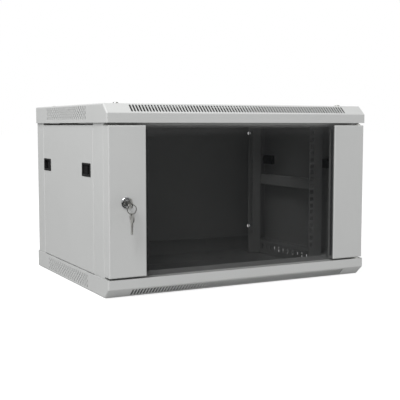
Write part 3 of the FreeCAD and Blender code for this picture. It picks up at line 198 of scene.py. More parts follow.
def circle_points(radius, steps, start=0.0, sweep=2 * math.pi):
    """Points of an arc, its end left out on a full circle."""
    last = steps if abs(sweep) > 6.28 else steps - 1
    return [(radius * math.cos(start + sweep * i / last), radius * math.sin(start + sweep * i / last))
            for i in range(steps)]


def stadium(length, width, steps=8):
    """Outline of a slot with round ends, its length along the second direction."""
    half = (length - width) / 2
    top = [(x, y + half) for x, y in circle_points(width / 2, steps, 0.0, math.pi)]
    return top + [(-x, -y) for x, y in top]


def rounded_rectangle(across, up, radius, steps=6):
    corners = []
    for i in range(4):
        turn = math.pi / 2 * i
        mid_x = (across / 2 - radius) * (1 if i in (0, 3) else -1)
        mid_y = (up / 2 - radius) * (1 if i in (0, 1) else -1)
        corners += [(mid_x + x, mid_y + y) for x, y in circle_points(radius, steps, turn, math.pi / 2)]
    return corners


def folded_outline(points, sheet, bend):
    """Closed outline of folded sheet: points run along one face, with the metal on their
    left hand. The outside of every fold has the radius bend."""
    corners = [Vector(point) for point in points]
    runs = [(b - a).normalized() for a, b in zip(corners, corners[1:])]
    lefts = [Vector((-run.y, run.x)) for run in runs]
    face = [corners[0]]
    back = [corners[0] + lefts[0] * sheet]
    for i in range(1, len(corners) - 1):
        before = runs[i - 1]
        turn = math.atan2(before.cross(runs[i]), before.dot(runs[i]))
        side = 1 if turn > 0 else -1
        radius = bend if turn > 0 else bend - sheet
        middle = corners[i] - before * radius * math.tan(abs(turn) / 2) + lefts[i - 1] * radius * side
        for step in range(BEND_STEPS):
            spoke = Matrix.Rotation(turn * step / (BEND_STEPS - 1), 2) @ (lefts[i - 1] * -side)
            face.append(middle + spoke * radius)
            back.append(middle + spoke * (radius - side * sheet))
    face.append(corners[-1])
    back.append(corners[-1] + lefts[-1] * sheet)
    return [(point.x, point.y) for point in face + back[::-1]]


# ---- shapes, added to a bmesh ----
def loft(work, rings, closed=False):
    """A skin over rings of the same number of points, capped at its ends or closed on
    itself."""
    rows = [[work.verts.new(point) for point in ring] for ring in rings]
    pairs = list(zip(rows, rows[1:])) + ([(rows[-1], rows[0])] if closed else [])
    for row, following in pairs:
        for i in range(len(row)):
            j = (i + 1) % len(row)
            work.faces.new((row[i], row[j], following[j], following[i]))
    if not closed:
        work.faces.new(rows[0][::-1])
        work.faces.new(rows[-1])


def extrude(work, outline, along, start, end):
    """An outline that lies across RIGHT, REAR or UP, made solid from start to end."""
    axis = tuple(along).index(1.0)
    loft(work, [[point[:axis] + (at,) + point[axis:] for point in outline] for at in (start, end)])


def block(work, corner, other):
    """A square-edged block between two opposite corners; a cutter, or an end of sheet."""
    (x0, y0, z0), (x1, y1, z1) = corner, other
    extrude(work, [(x0, y0), (x1, y0), (x1, y1), (x0, y1)], UP, z0, z1)


def turned(work, place, axis, profile, steps=32, closed=False):
    """A body of revolution from (radius, distance along the axis) pairs, end to end. A
    closed profile runs out along the body and back down its bore."""
    turn = UP.rotation_difference(axis)
    across = turn @ RIGHT
    up = turn @ REAR
    rings = []
    for radius, along in profile:
        middle = place + axis * along
        rings.append([middle + across * a + up * b for a, b in circle_points(radius, steps)])
    loft(work, rings, closed)


def bore(work, place, axis, radius, reach, steps=24):
    """A round rod that reaches as far to both sides of its place; it cuts a hole."""
    turned(work, place, axis, [(radius, -reach), (radius, reach)], steps)


PAN_BEND = 2.0 * MM
PAN_CORNER = 1.2 * MM


def pan(work, middle, across, size, depth, sheet):
    """A shallow upright pan of folded sheet round the middle of its face, open behind."""
    out = across.cross(UP)

    def ring(inset, back):
        outline = rounded_rectangle(size[0] - 2 * inset, size[1] - 2 * inset,
                                    max(PAN_CORNER - inset, 0.15 * MM), 4)
        return [middle + across * a + UP * b - out * back for a, b in outline]

    turns = [math.pi / 2 * i / (BEND_STEPS - 1) for i in range(BEND_STEPS)]
    fold = PAN_BEND - sheet
    outer = [ring(PAN_BEND * (1 - math.sin(t)), PAN_BEND * (1 - math.cos(t))) for t in turns]
    inner = [ring(sheet + fold * (1 - math.sin(t)), sheet + fold * (1 - math.cos(t))) for t in turns]
    loft(work, outer + [ring(0.0, depth), ring(sheet, depth)] + inner[::-1])


# ---- objects ----
def scene_object(name, data):
    made = bpy.data.objects.new(name, data)
    bpy.context.scene.collection.objects.link(made)
    return made


def mesh_from(name, shape, *sizes):
    """A mesh object that holds one of the shapes, made to the given sizes."""
    work = bmesh.new()
    shape(work, *sizes)
    bmesh.ops.recalc_face_normals(work, faces=work.faces)
    mesh = bpy.data.meshes.new(name)
    work.to_mesh(mesh)
    work.free()
    return scene_object(name, mesh)


def bake(made):
    """Applies an object's modifiers, so that plain mesh is left."""
    graph = bpy.context.evaluated_depsgraph_get()
    solid = bpy.data.meshes.new_from_object(made.evaluated_get(graph))
    made.modifiers.clear()
    made.data = solid


def combine(made, operation, other):
    modifier = made.modifiers.new("combine", "BOOLEAN")
    modifier.operation = operation
    modifier.solver = "MANIFOLD"
    modifier.object = other
    bake(made)
    bpy.data.objects.remove(other)


def cut(made, shape, *sizes):
    """Takes a shape out of a closed mesh."""
    combine(made, "DIFFERENCE", mesh_from("cutter", shape, *sizes))


def join(made, shape, *sizes):
    """Makes one closed mesh of a mesh and a shape that overlaps it."""
    combine(made, "UNION", mesh_from("addition", shape, *sizes))


def soften(made):
    """Smooth shading, broken at edges sharper than 0.6 radians."""
    work = bmesh.new()
    work.from_mesh(made.data)
    for face in work.faces:
        face.smooth = True
    for edge in work.edges:
        edge.smooth = edge.calc_face_angle(0.0) < 0.6
    work.to_mesh(made.data)
    work.free()


MIRROR_X = Matrix.Scale(-1, 4, RIGHT)
MIRROR_Z = Matrix.Scale(-1, 4, UP)


def copy_of(made, name, change):
    """The same shape again, mirrored or moved in its mesh."""
    mesh = made.data.copy()
    mesh.transform(change)
    if change.determinant() < 0:
        mesh.flip_normals()
    return scene_object(name, mesh)


def dress(piece, body):
    """Gives a piece its body and finish. Its name is that of the solid that it stands for,
    and a last word that says how it is made."""
    node = piece.name.rpartition("_")[0]
    piece.data.materials.clear()
    piece.data.materials.append(MATERIALS[slots[node]])
    for face in piece.data.polygons:
        face.material_index = 0
    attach(piece, body)
    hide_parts(node)


def dress_twins(made, body, words=("right", "left"), change=MIRROR_X):
    """Dresses a piece and its mirror image, whose names and bodies differ by one word."""
    twin = copy_of(made, made.name.replace(*words), change)
    dress(made, body)
    dress(twin, body.replace(*words))


# ---- node groups for what repeats ----
def new_group(name, sockets):
    """A geometry node group that changes one mesh, with the named inputs."""
    group = bpy.data.node_groups.new(name, "GeometryNodeTree")
    for socket, kind in [("Geometry", "Geometry")] + sockets:
        group.interface.new_socket(socket, in_out="INPUT", socket_type="NodeSocket" + kind)
    group.interface.new_socket("Geometry", in_out="OUTPUT", socket_type="NodeSocketGeometry")
    return group, group.nodes.new("NodeGroupInput").outputs


def pierced_field_group():
    """Cuts rows and columns of slots with rounded corners out of a closed mesh."""
    group, given = new_group("pierced_field", [
        ("Columns", "Int"), ("Rows", "Int"), ("Field Width", "Float"), ("Field Height", "Float"),
        ("Core Width", "Float"), ("Core Length", "Float"), ("Corner", "Float"), ("Depth", "Float"),
        ("Middle", "Vector"), ("Turn", "Vector"), ("Finish", "Material")])
    corners = add(group, "GeometryNodeMeshGrid", {
        "Size X": given["Core Width"], "Size Y": given["Core Length"], "Vertices X": 2, "Vertices Y": 2})
    round_rod = add(group, "GeometryNodeMeshCylinder",
                    {"Vertices": 20, "Radius": given["Corner"], "Depth": given["Depth"]})
    rods = add(group, "GeometryNodeInstanceOnPoints", {"Points": corners, "Instance": round_rod})
    loose = add(group, "GeometryNodeRealizeInstances", {"Geometry": rods})
    slot = add(group, "GeometryNodeConvexHull", {"Geometry": loose})
    field = add(group, "GeometryNodeMeshGrid", {
        "Size X": given["Field Width"], "Size Y": given["Field Height"],
        "Vertices X": given["Columns"], "Vertices Y": given["Rows"]})
    copies = add(group, "GeometryNodeInstanceOnPoints", {"Points": field, "Instance": slot})
    placed = add(group, "GeometryNodeTransform", {
        "Geometry": copies, "Rotation": given["Turn"], "Translation": given["Middle"]})
    cutters = add(group, "GeometryNodeRealizeInstances", {"Geometry": placed})
    pierced = add(group, "GeometryNodeMeshBoolean", {"Mesh 1": given["Geometry"], "Mesh 2": cutters},
                  operation="DIFFERENCE", solver="MANIFOLD")
    finished = add(group, "GeometryNodeSetMaterial", {"Geometry": pierced, "Material": given["Finish"]})
    add(group, "NodeGroupOutput", {"Geometry": finished})
    return group


def set_out_group():
    """Puts a copy of one screw on every point, aimed by the point."""
    group, given = new_group("set_out_screws", [("Screw", "Object"), ("Finish", "Material")])
    screw = add(group, "GeometryNodeObjectInfo", {"Object": given["Screw"]})
    aim = add(group, "GeometryNodeInputNamedAttribute", {"Name": "aim"}, data_type="FLOAT_VECTOR")
    turn = add(group, "FunctionNodeAlignRotationToVector", {"Vector": aim}, axis="Z")
    copies = add(group, "GeometryNodeInstanceOnPoints", {
        "Points": given["Geometry"], "Instance": screw.outputs["Geometry"], "Rotation": turn})
    meshes = add(group, "GeometryNodeRealizeInstances", {"Geometry": copies})
    finished = add(group, "GeometryNodeSetMaterial", {"Geometry": meshes, "Material": given["Finish"]})
    add(group, "NodeGroupOutput", {"Geometry": finished})
    return group


PIERCED_FIELD = pierced_field_group()
SET_OUT_SCREWS = set_out_group()


def run_group(made, group, values):
    """Runs a node group on an object, its inputs given by name, and keeps the mesh."""
    modifier = made.modifiers.new(group.name, "NODES")
    modifier.node_group = group
    for item in group.interface.items_tree:
        if item.in_out == "INPUT" and item.name in values:
            modifier[item.identifier] = values[item.name]
    bake(made)


def pierce(made, counts, pitches, slot, corner, depth, middle, turn):
    """Cuts a field of slots; counts, pitches and the slot's size are given across and up."""
    run_group(made, PIERCED_FIELD, {
        "Columns": counts[0], "Rows": counts[1], "Corner": corner, "Depth": depth,
        "Field Width": (counts[0] - 1) * pitches[0], "Field Height": (counts[1] - 1) * pitches[1],
        "Core Width": slot[0] - 2 * corner, "Core Length": slot[1] - 2 * corner,
        "Middle": middle, "Turn": turn, "Finish": MATERIALS["light_grey_powder_coat"]})


# ---- screws ----
SHEET = 1.2 * MM            # sheet of the covers, the frame and the door
PAN_HEAD = (3.6, 1.8, 1.95)
SCREWS = {                  # direction, radius of its hole, head radius and height (0 where it is
                            # flush), shank radius, length under the head; in millimetres
    "top_cover_screws": (UP, 3.0, 5.5, 3.0, 3.0, 6.4),
    "bottom_cover_screws": (UP, 3.0, 4.85, 0.0, 2.9, 6.4),
    "cable_plate_screws": (UP, 2.0, *PAN_HEAD, 2.2),
    "crossbar_screws": (REAR, 2.0, *PAN_HEAD, 2.2),
    "bracket_screws": (REAR, 2.0, *PAN_HEAD, 6.4),
    "rail_screws": (RIGHT, 3.0, 4.6, 3.0, 2.95, 6.7),
}


def box_middle(points):
    lows = [min(point[axis] for point in points) for axis in range(3)]
    highs = [max(point[axis] for point in points) for axis in range(3)]
    return (Vector(lows) + Vector(highs)) / 2


def node_solids(node):
    """Points of each separate solid of a CAD node."""
    work = bmesh.new()
    work.from_mesh(frame["nodes"][node].data)
    bmesh.ops.remove_doubles(work, verts=work.verts, dist=1e-6)
    waiting = set(work.verts)
    solids = []
    while waiting:
        found = [waiting.pop()]
        for vert in found:
            for edge in vert.link_edges:
                other = edge.other_vert(vert)
                if other in waiting:
                    waiting.remove(other)
                    found.append(other)
        solids.append([vert.co.copy() for vert in found])
    work.free()
    return sorted(solids, key=lambda points: tuple(round(c, 5) for c in box_middle(points)))


def screw_seats(node):
    """Seat and outward aim of every screw of a node: its head is its widest part."""
    along = SCREWS[node][0]
    seats = []
    for points in node_solids(node):
        middle = box_middle(points)
        reach = [(point - middle - along * (point - middle).dot(along)).length for point in points]
        widest = max(reach)
        rim = [point.dot(along) for point, out in zip(points, reach) if out > 0.97 * widest]
        away = 1 if sum(rim) / len(rim) > middle.dot(along) else -1
        seat = min(rim) if away > 0 else max(rim)
        seats.append((middle + along * (seat - middle.dot(along)), along * away))
    return seats


def screw_holes(work, node):
    """Round holes where the screws of a node pass through sheet."""
    for place, aim in screw_seats(node):
        bore(work, place, aim, SCREWS[node][1] * MM, 8 * MM)


def thread(radius, start, end, pitch=1.0 * MM):
    """Crests and roots of a thread, drawn as rings, between two heights."""
    turns = max(2, round((start - end) / pitch))
    step = (start - end) / turns
    profile = []
    for i in range(turns):
        profile += [(radius, start - i * step), (radius * 0.86, start - (i + 0.5) * step)]
    return profile + [(radius * 0.8, end)]


def cross_recess(work, radius, top, depth):
    """Cutter for a cross recess that narrows towards its foot."""
    rings = []
    for share, height in ((1.0, top + 0.2 * MM), (0.55, top - depth)):
        arm = radius * share
        web = 0.3 * arm
        spins = [Matrix.Rotation(turn * math.pi / 2, 2) for turn in range(4)]
        quarter = [Vector(corner) for corner in ((arm, -web), (arm, web), (web, web))]
        rings.append([(*(spin @ corner), height) for spin in spins for corner in quarter])
    loft(work, rings)


def make_screw(head_r, head, shank_r, tail):
    """A cross-recessed screw with its seat at 0 and its head up: domed, or flush."""
    if head:
        dome = [(0.3, 1.0), (0.62, 0.96), (0.84, 0.84), (0.96, 0.62), (1.0, 0.35), (1.0, 0.08), (0.97, 0.0)]
        profile = [(head_r * r, head * h) for r, h in dome] + thread(shank_r, 0.0, -tail)
    else:
        profile = [(head_r * 0.97, 0.0), (head_r, -0.15 * MM), (shank_r, -SHEET)]
        profile += thread(shank_r, -SHEET, -tail)
    screw = mesh_from("screw", turned, Vector(), UP, profile, 24)
    cut(screw, cross_recess, head_r * 0.55, head, 0.55 * (head or head_r / 3))
    soften(screw)
    return screw


def set_out_screws(node):
    """All screws of a node as one piece."""
    screw = make_screw(*[size * MM for size in SCREWS[node][2:]])
    seats = screw_seats(node)
    mesh = bpy.data.meshes.new(node + "_turned")
    mesh.from_pydata([place for place, aim in seats], [], [])
    aims = mesh.attributes.new("aim", "FLOAT_VECTOR", "POINT")
    for item, (place, aim) in zip(aims.data, seats):
        item.vector = aim
    made = scene_object(node + "_turned", mesh)
    run_group(made, SET_OUT_SCREWS, {"Screw": screw, "Finish": MATERIALS["zinc_plated_steel"]})
    bpy.data.objects.remove(screw)
    dress(made, "frame")


# ---- top and bottom covers ----
cover_low, cover_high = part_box("bottom_cover")
COVER_HALF = cover_high[0]
COVER_FRONT = cover_low[1]
COVER_LOW = cover_low[2]
COVER_MOUTH = cover_high[2]
COVER_BEND = 3.0 * MM
NOSE_RUN = 20.0 * MM
NOSE_RISE = 18.0 * MM
NOSE_SLOTS = 77
NOSE_PITCH = 6.5 * MM
NOSE_SLOT = (4.1 * MM, 20.0 * MM)

VENT_COLUMNS = 39
VENT_ROWS = 3
VENT_PITCHES = (6.5 * MM, 10.0 * MM)
VENT = (4.0 * MM, 7.6 * MM)
VENT_FROM_WALL = 211.0 * MM
VENT_MIDDLE = 17.3 * MM     # outside of the cover up to the middle of the vents

KNOCKOUTS = 4
KNOCKOUT_PITCH = 125.7 * MM
KNOCKOUT_SIZE = (88.0 * MM, 24.0 * MM)
KNOCKOUT_FLOOR = 9.0 * MM
KNOCKOUT_CORNER = 5.0 * MM
KNOCKOUT_GROOVE = 1.2 * MM
KNOCKOUT_WEB = 3.0 * MM
KNOCKOUT_SKIN = 0.25 * MM   # left at the foot of the groove, so that no light passes

ENTRY_SIZE = (240.0 * MM, 60.0 * MM)
ENTRY_FROM_WALL = 85.0 * MM
ENTRY_CORNER = 4.0 * MM
PLATE_LAP = 9.0 * MM
PLATE_SCREW_INSET = 4.5 * MM
PLATE_SCREW_R = 2.0 * MM
COVER_SCREW_R = 3.0 * MM

FAN_SPACING = 170.0 * MM
FAN_FROM_WALL = 255.0 * MM
FAN_OPENING_R = 56.0 * MM
FAN_SLOTS = 11
FAN_SLOT_PITCH = 9.0 * MM
FAN_SLOT_WIDTH = 5.0 * MM
FAN_SCREW_SPACING = 105.0 * MM
FAN_SCREW_R = 2.2 * MM

SIDEWAYS = (math.pi / 2, 0, math.pi / 2)   # turns a field to face along X, its columns along Y


def nose_folds():
    """The three folds of a cover's section: middle of each arc, and the turn from the
    outward side of one face to that of the next."""
    slope = math.hypot(NOSE_RUN, NOSE_RISE)
    run = NOSE_RUN / slope
    rise = NOSE_RISE / slope
    lean = math.atan2(-run, -rise)
    front = COVER_FRONT + COVER_BEND
    floor = COVER_LOW + COVER_BEND
    slant_y = COVER_FRONT + rise * COVER_BEND
    slant_z = COVER_LOW + NOSE_RISE + run * COVER_BEND
    upper = (front, slant_z - (front - slant_y) * rise / run)
    lower = (slant_y + (slant_z - floor) * run / rise, floor)
    rear = (-COVER_BEND, floor)
    return ((upper, -math.pi, lean), (lower, lean, -math.pi / 2), (rear, -math.pi / 2, 0.0))


def cover_section(inset, mouth):
    """Section of the bottom cover in the YZ plane, moved inwards by inset."""
    points = [(COVER_FRONT + inset, mouth)]
    for middle, start, end in nose_folds():
        points += [(middle[0] + y, middle[1] + z)
                   for y, z in circle_points(COVER_BEND - inset, BEND_STEPS, start, end - start)]
    return points + [(-inset, mouth)]


def cover_block(work, skin, mouth):
    """A closed block in the shape of the bottom cover's outer face, or of its inner face
    when skin is the sheet's thickness. All its folds and corners are rounded."""
    radius = COVER_BEND - skin
    stations = []
    for i in range(BEND_STEPS):
        turn = math.pi / 2 * (1 - i / (BEND_STEPS - 1))
        x = COVER_HALF - COVER_BEND + radius * math.sin(turn)
        stations.append((x, COVER_BEND - radius * math.cos(turn) * 0.999))
    stations = [(-x, inset) for x, inset in stations] + stations[::-1]
    loft(work, [[(x, y, z) for y, z in cover_section(inset, mouth)] for x, inset in stations])


def four_corners(reach_x, reach_y):
    return [(sx * reach_x, sy * reach_y) for sx in (-1, 1) for sy in (-1, 1)]


def plate_screws():
    """Places of the four screws of a cable plate."""
    reach = [size / 2 + PLATE_LAP - PLATE_SCREW_INSET for size in ENTRY_SIZE]
    return [(x, y - ENTRY_FROM_WALL) for x, y in four_corners(*reach)]


def plate_cutters(work, fans):
    """Everything pierced in a cover's flat plate: entry, screw holes and fan grilles."""
    def punch(outline, x, y):
        placed = [(x + a, y + b) for a, b in outline]
        extrude(work, placed, UP, COVER_LOW - SHEET, COVER_LOW + 2 * SHEET)

    punch(rounded_rectangle(*ENTRY_SIZE, ENTRY_CORNER), 0, -ENTRY_FROM_WALL)
    for x, y in plate_screws():
        punch(circle_points(PLATE_SCREW_R, 24), x, y)
    for place, aim in screw_seats("top_cover_screws"):
        punch(circle_points(COVER_SCREW_R, 24), place.x, place.y)
    for middle in (-FAN_SPACING / 2, FAN_SPACING / 2) if fans else ():
        for i in range(FAN_SLOTS):
            x = (i - (FAN_SLOTS - 1) / 2) * FAN_SLOT_PITCH
            length = 2 * math.sqrt(FAN_OPENING_R ** 2 - x ** 2)
            punch(stadium(length, FAN_SLOT_WIDTH), middle + x, -FAN_FROM_WALL)
        for x, y in four_corners(FAN_SCREW_SPACING / 2, FAN_SCREW_SPACING / 2):
            punch(circle_points(FAN_SCREW_R, 24), middle + x, y - FAN_FROM_WALL)


def half_outline(across, up):
    return [(KNOCKOUT_WEB / 2, up), (across - KNOCKOUT_CORNER, up), (across, up - KNOCKOUT_CORNER),
            (across, -up + KNOCKOUT_CORNER), (across - KNOCKOUT_CORNER, -up), (KNOCKOUT_WEB / 2, -up)]


def knockout_cutters(work):
    """Grooves round the cable knockouts: two halves each, with a web between."""
    across, up = KNOCKOUT_SIZE[0] / 2, KNOCKOUT_SIZE[1] / 2
    ring = half_outline(across, up) + half_outline(across - KNOCKOUT_GROOVE, up - KNOCKOUT_GROOVE)[::-1]
    middle_z = COVER_LOW + KNOCKOUT_FLOOR + up
    for i in range(KNOCKOUTS):
        x = (i - (KNOCKOUTS - 1) / 2) * KNOCKOUT_PITCH
        for side in (-1, 1):
            extrude(work, [(x + side * a, middle_z + b) for a, b in ring], REAR,
                    -2 * SHEET, -KNOCKOUT_SKIN)


def countersinks(work):
    """Cones under the flush screws of the bottom cover, run out past its face."""
    cone = [(3.0 * MM, -3.0 * MM), (3.0 * MM, -SHEET), (5.0 * MM, 0.0), (6.6 * MM, 1.0 * MM)]
    for place, aim in screw_seats("bottom_cover_screws"):
        turned(work, Vector((place.x, place.y, COVER_LOW)), -UP, cone)


def make_cover(name, is_top):
    """A folded cover with its slanted slotted nose and staggered side vents. The top one
    is the bottom one upside down, with two fan grilles."""
    cover = mesh_from(name, cover_block, 0.0, COVER_MOUTH)
    cut(cover, cover_block, SHEET, COVER_MOUTH + SHEET)
    cut(cover, plate_cutters, is_top)
    cut(cover, knockout_cutters)
    pierce(cover, (NOSE_SLOTS, 1), (NOSE_PITCH, 0.0), NOSE_SLOT, NOSE_SLOT[0] / 2, 6 * SHEET,
           (0, COVER_FRONT + NOSE_RUN / 2, COVER_LOW + NOSE_RISE / 2),
           (math.atan2(-NOSE_RISE, NOSE_RUN), 0, 0))
    # Every other column has a row less, so the vents are two plain fields, one in the other.
    for columns, rows in ((VENT_COLUMNS // 2 + 1, VENT_ROWS), (VENT_COLUMNS // 2, VENT_ROWS - 1)):
        pierce(cover, (columns, rows), (2 * VENT_PITCHES[0], VENT_PITCHES[1]), VENT, VENT[0] / 2,
               2 * COVER_HALF + 6 * SHEET, (0, -VENT_FROM_WALL, COVER_LOW + VENT_MIDDLE), SIDEWAYS)
    if is_top:
        cover.data.transform(MIRROR_Z)
        cover.data.flip_normals()
    else:
        cut(cover, countersinks)
    dress(cover, "frame")


def plate_shape(work):
    """A plate with rounded corners, sheared clean below and eased above."""
    low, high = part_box("bottom_cable_plate")
    middle = (Vector(low) + Vector(high)) / 2
    rings = []
    for z, inset in ((low[2], 0.15 * MM), (low[2] + 0.15 * MM, 0.0), (high[2] - 0.3 * MM, 0.0),
                     (high[2], 0.3 * MM)):
        outline = rounded_rectangle(high[0] - low[0] - 2 * inset, high[1] - low[1] - 2 * inset, 3 * MM, 5)
        rings.append([(middle.x + a, middle.y + b, z) for a, b in outline])
    loft(work, rings)


def make_cable_plates():
    plate = mesh_from("bottom_cable_plate_sheared", plate_shape)
    for x, y in plate_screws():
        cut(plate, bore, Vector((x, y, COVER_LOW)), UP, PLATE_SCREW_R, 5 * MM, 20)
    dress_twins(plate, "frame", ("bottom", "top"), MIRROR_Z)


make_cover("bottom_cover_sheet", False)
make_cover("top_cover_sheet", True)
make_cable_plates()
for screw_node in SCREWS:
    set_out_screws(screw_node)


# ---- posts, rear panel and crossbars ----
BODY_SIDE = 297.0 * MM
PLATE_INSIDE = 183.8 * MM
FRAME_BEND = 2.2 * MM
POST_FRONT = -423.0 * MM
POST_REAR = -368.0 * MM
POST_LEGS = (22.0 * MM, 26.0 * MM)
POST_TAB = 52.0 * MM
REAR_WING = 47.0 * MM
REAR_LIP = 15.0 * MM
REAR_EDGE = 148.2 * MM      # upper and lower edge of the wall face, just inside the covers
REAR_HEM = 12.0 * MM
WALL_HOLE_R = 4.5 * MM
WALL_HOLES = (276.0 * MM, 123.0 * MM)
TONGUE_WINDOW = (5.0 * MM, 12.0 * MM)
TONGUE_X = 291.0 * MM
LATCH_Z = 55.6 * MM
CROSSBAR_REACH = 296.7 * MM
CROSSBAR_TOP = 150.5 * MM
CROSSBAR_FOOT = 139.5 * MM
CROSSBAR_FRONT = -448.5 * MM
HINGE_X = 286.0 * MM
HINGE_Y = -442.0 * MM
PIN_HOLE_R = 3.1 * MM


def tongue_hole(work, y, side=1):
    """Window that the tongue of a latch enters, in a sheet that faces front or rear."""
    half_x, half_z = TONGUE_WINDOW[0] / 2, TONGUE_WINDOW[1] / 2
    block(work, (side * TONGUE_X - half_x, y - 3 * SHEET, LATCH_Z - half_z),
          (side * TONGUE_X + half_x, y + 3 * SHEET, LATCH_Z + half_z))


def make_posts():
    """Channels with a tab folded in at each end, to which the covers are screwed."""
    front, rear = POST_LEGS
    outline = folded_outline([(BODY_SIDE - front, POST_FRONT), (BODY_SIDE, POST_FRONT),
                              (BODY_SIDE, POST_REAR), (BODY_SIDE - rear, POST_REAR)],
                             SHEET, FRAME_BEND)
    post = mesh_from("front_post_right_folded", extrude, outline, UP, -PLATE_INSIDE, PLATE_INSIDE)
    for side in (-1, 1):
        z = side * PLATE_INSIDE
        join(post, block, (BODY_SIDE - POST_TAB, POST_FRONT + FRAME_BEND, z),
             (BODY_SIDE - SHEET / 2, POST_REAR - FRAME_BEND, z - side * SHEET))
    cut(post, tongue_hole, POST_REAR)
    for node in ("top_cover_screws", "bottom_cover_screws", "crossbar_screws", "bracket_screws"):
        cut(post, screw_holes, node)
    dress_twins(post, "frame")


def make_rear_panel():
    """Wall face and wings. Its wall face ends in a folded hem just inside each cover."""
    outline = folded_outline([(BODY_SIDE - REAR_LIP, -REAR_WING), (BODY_SIDE, -REAR_WING),
                              (BODY_SIDE, 0), (-BODY_SIDE, 0), (-BODY_SIDE, -REAR_WING),
                              (-BODY_SIDE + REAR_LIP, -REAR_WING)], SHEET, FRAME_BEND)
    panel = mesh_from("rear_panel_folded", extrude, outline, UP, -PLATE_INSIDE, PLATE_INSIDE)
    past_side = BODY_SIDE + 13 * MM
    hem_end = BODY_SIDE - 2 * FRAME_BEND
    for side in (-1, 1):
        edge = side * REAR_EDGE
        z = side * PLATE_INSIDE
        cut(panel, block, (-past_side, -FRAME_BEND - MM, edge), (past_side, MM, side * BEYOND))
        join(panel, block, (-hem_end, -REAR_HEM, edge - side * SHEET), (hem_end, -SHEET / 2, edge))
        for hand in (-1, 1):
            join(panel, block, (hand * (BODY_SIDE - POST_TAB), -REAR_WING + FRAME_BEND, z),
                 (hand * (BODY_SIDE - SHEET / 2), -FRAME_BEND - 2 * MM, z - side * SHEET))
    for x, z in four_corners(*WALL_HOLES):
        cut(panel, bore, Vector((x, 0, z)), REAR, WALL_HOLE_R, 5 * MM, 32)
    for node in ("top_cover_screws", "bottom_cover_screws", "bracket_screws"):
        cut(panel, screw_holes, node)
    for hand in (1, -1):
        cut(panel, tongue_hole, -REAR_WING, hand)
    dress(panel, "frame")


def make_crossbars():
    outline = folded_outline([(POST_FRONT, CROSSBAR_FOOT), (POST_FRONT, CROSSBAR_TOP),
                              (CROSSBAR_FRONT, CROSSBAR_TOP)], SHEET, FRAME_BEND)
    bar = mesh_from("front_crossbar_top_folded", extrude, outline, RIGHT, -CROSSBAR_REACH, CROSSBAR_REACH)
    cut(bar, bore, Vector((HINGE_X, HINGE_Y, CROSSBAR_TOP)), UP, PIN_HOLE_R, 5 * MM)
    cut(bar, screw_holes, "crossbar_screws")
    dress_twins(bar, "frame", ("top", "bottom"), MIRROR_Z)


make_posts()
make_rear_panel()
make_crossbars()


# ---- depth brackets, braces and rails ----
BRACKET_FACE = 262.0 * MM
BRACKET_LEDGE = 29.0 * MM
BRACKET_HEIGHT = 34.0 * MM
BRACKET_SLOTS = 11
BRACKET_SLOT_PITCH = 19.5 * MM
BRACKET_SLOT = (7.0 * MM, 14.0 * MM)
BRACKET_SLOTS_FROM_WALL = 191.0 * MM
BRACKET_SLOT_RISE = 21.0 * MM
BRACE_HEIGHT = 25.0 * MM
BRACE_DEPTH = 10.0 * MM
BRACE_CENTRE_Z = 7.0 * MM
BRACE_ENDS = (-345.5 * MM, -56.5 * MM)
UNIT_HEIGHT = 44.45 * MM
UNITS = 6
RAIL_SHEET = 1.5 * MM
RAIL_BEND = 2.5 * MM
RAIL_FACE = 36.6 * MM
RAIL_FLANGE = 30.0 * MM
RAIL_HOLE_IN = 7.15 * MM
RAIL_HOLE = (9.5 * MM, 9.5 * MM)
RAIL_HOLE_CORNER = 0.8 * MM
RAIL_HOLE_STEP = 15.875 * MM
RAIL_END = 180.8 * MM
RAIL_PLACES = {"front": -350.0 * MM, "rear": -85.0 * MM}


def channel_outline(low, high, ledge):
    """Section of a channel whose web faces the rails and whose ledges run outwards."""
    outer = BRACKET_FACE + ledge
    return folded_outline([(outer, high), (BRACKET_FACE, high), (BRACKET_FACE, low), (outer, low)],
                          SHEET, FRAME_BEND)


def make_brackets():
    """Slotted channels with folded ends, one along each long edge of the cabinet."""
    z0, z1 = -PLATE_INSIDE, -PLATE_INSIDE + BRACKET_HEIGHT
    bracket = mesh_from("depth_bracket_bottom_right_slotted", extrude,
                        channel_outline(z0, z1, BRACKET_LEDGE), REAR, POST_REAR, -REAR_WING)
    for y, way in ((POST_REAR, 1), (-REAR_WING, -1)):
        join(bracket, block, (BRACKET_FACE + SHEET / 2, y, z0 + SHEET / 2),
             (BRACKET_FACE + BRACKET_LEDGE, y + way * SHEET, z1 - SHEET / 2))
    pierce(bracket, (BRACKET_SLOTS, 1), (BRACKET_SLOT_PITCH, 0.0), BRACKET_SLOT, BRACKET_SLOT[0] / 2,
           6 * SHEET, (BRACKET_FACE, -BRACKET_SLOTS_FROM_WALL, COVER_LOW + BRACKET_SLOT_RISE), SIDEWAYS)
    for node in ("rail_screws", "bracket_screws"):
        cut(bracket, screw_holes, node)
    dress_twins(bracket, "frame")
    dress_twins(copy_of(bracket, "depth_bracket_top_right_slotted", MIRROR_Z), "frame")


def make_braces():
    low, high = (BRACE_CENTRE_Z + way * BRACE_HEIGHT / 2 for way in (-1, 1))
    outline = channel_outline(low, high, BRACE_DEPTH)
    brace = mesh_from("depth_brace_right_folded", extrude, outline, REAR, *BRACE_ENDS)
    cut(brace, screw_holes, "rail_screws")
    dress_twins(brace, "frame")


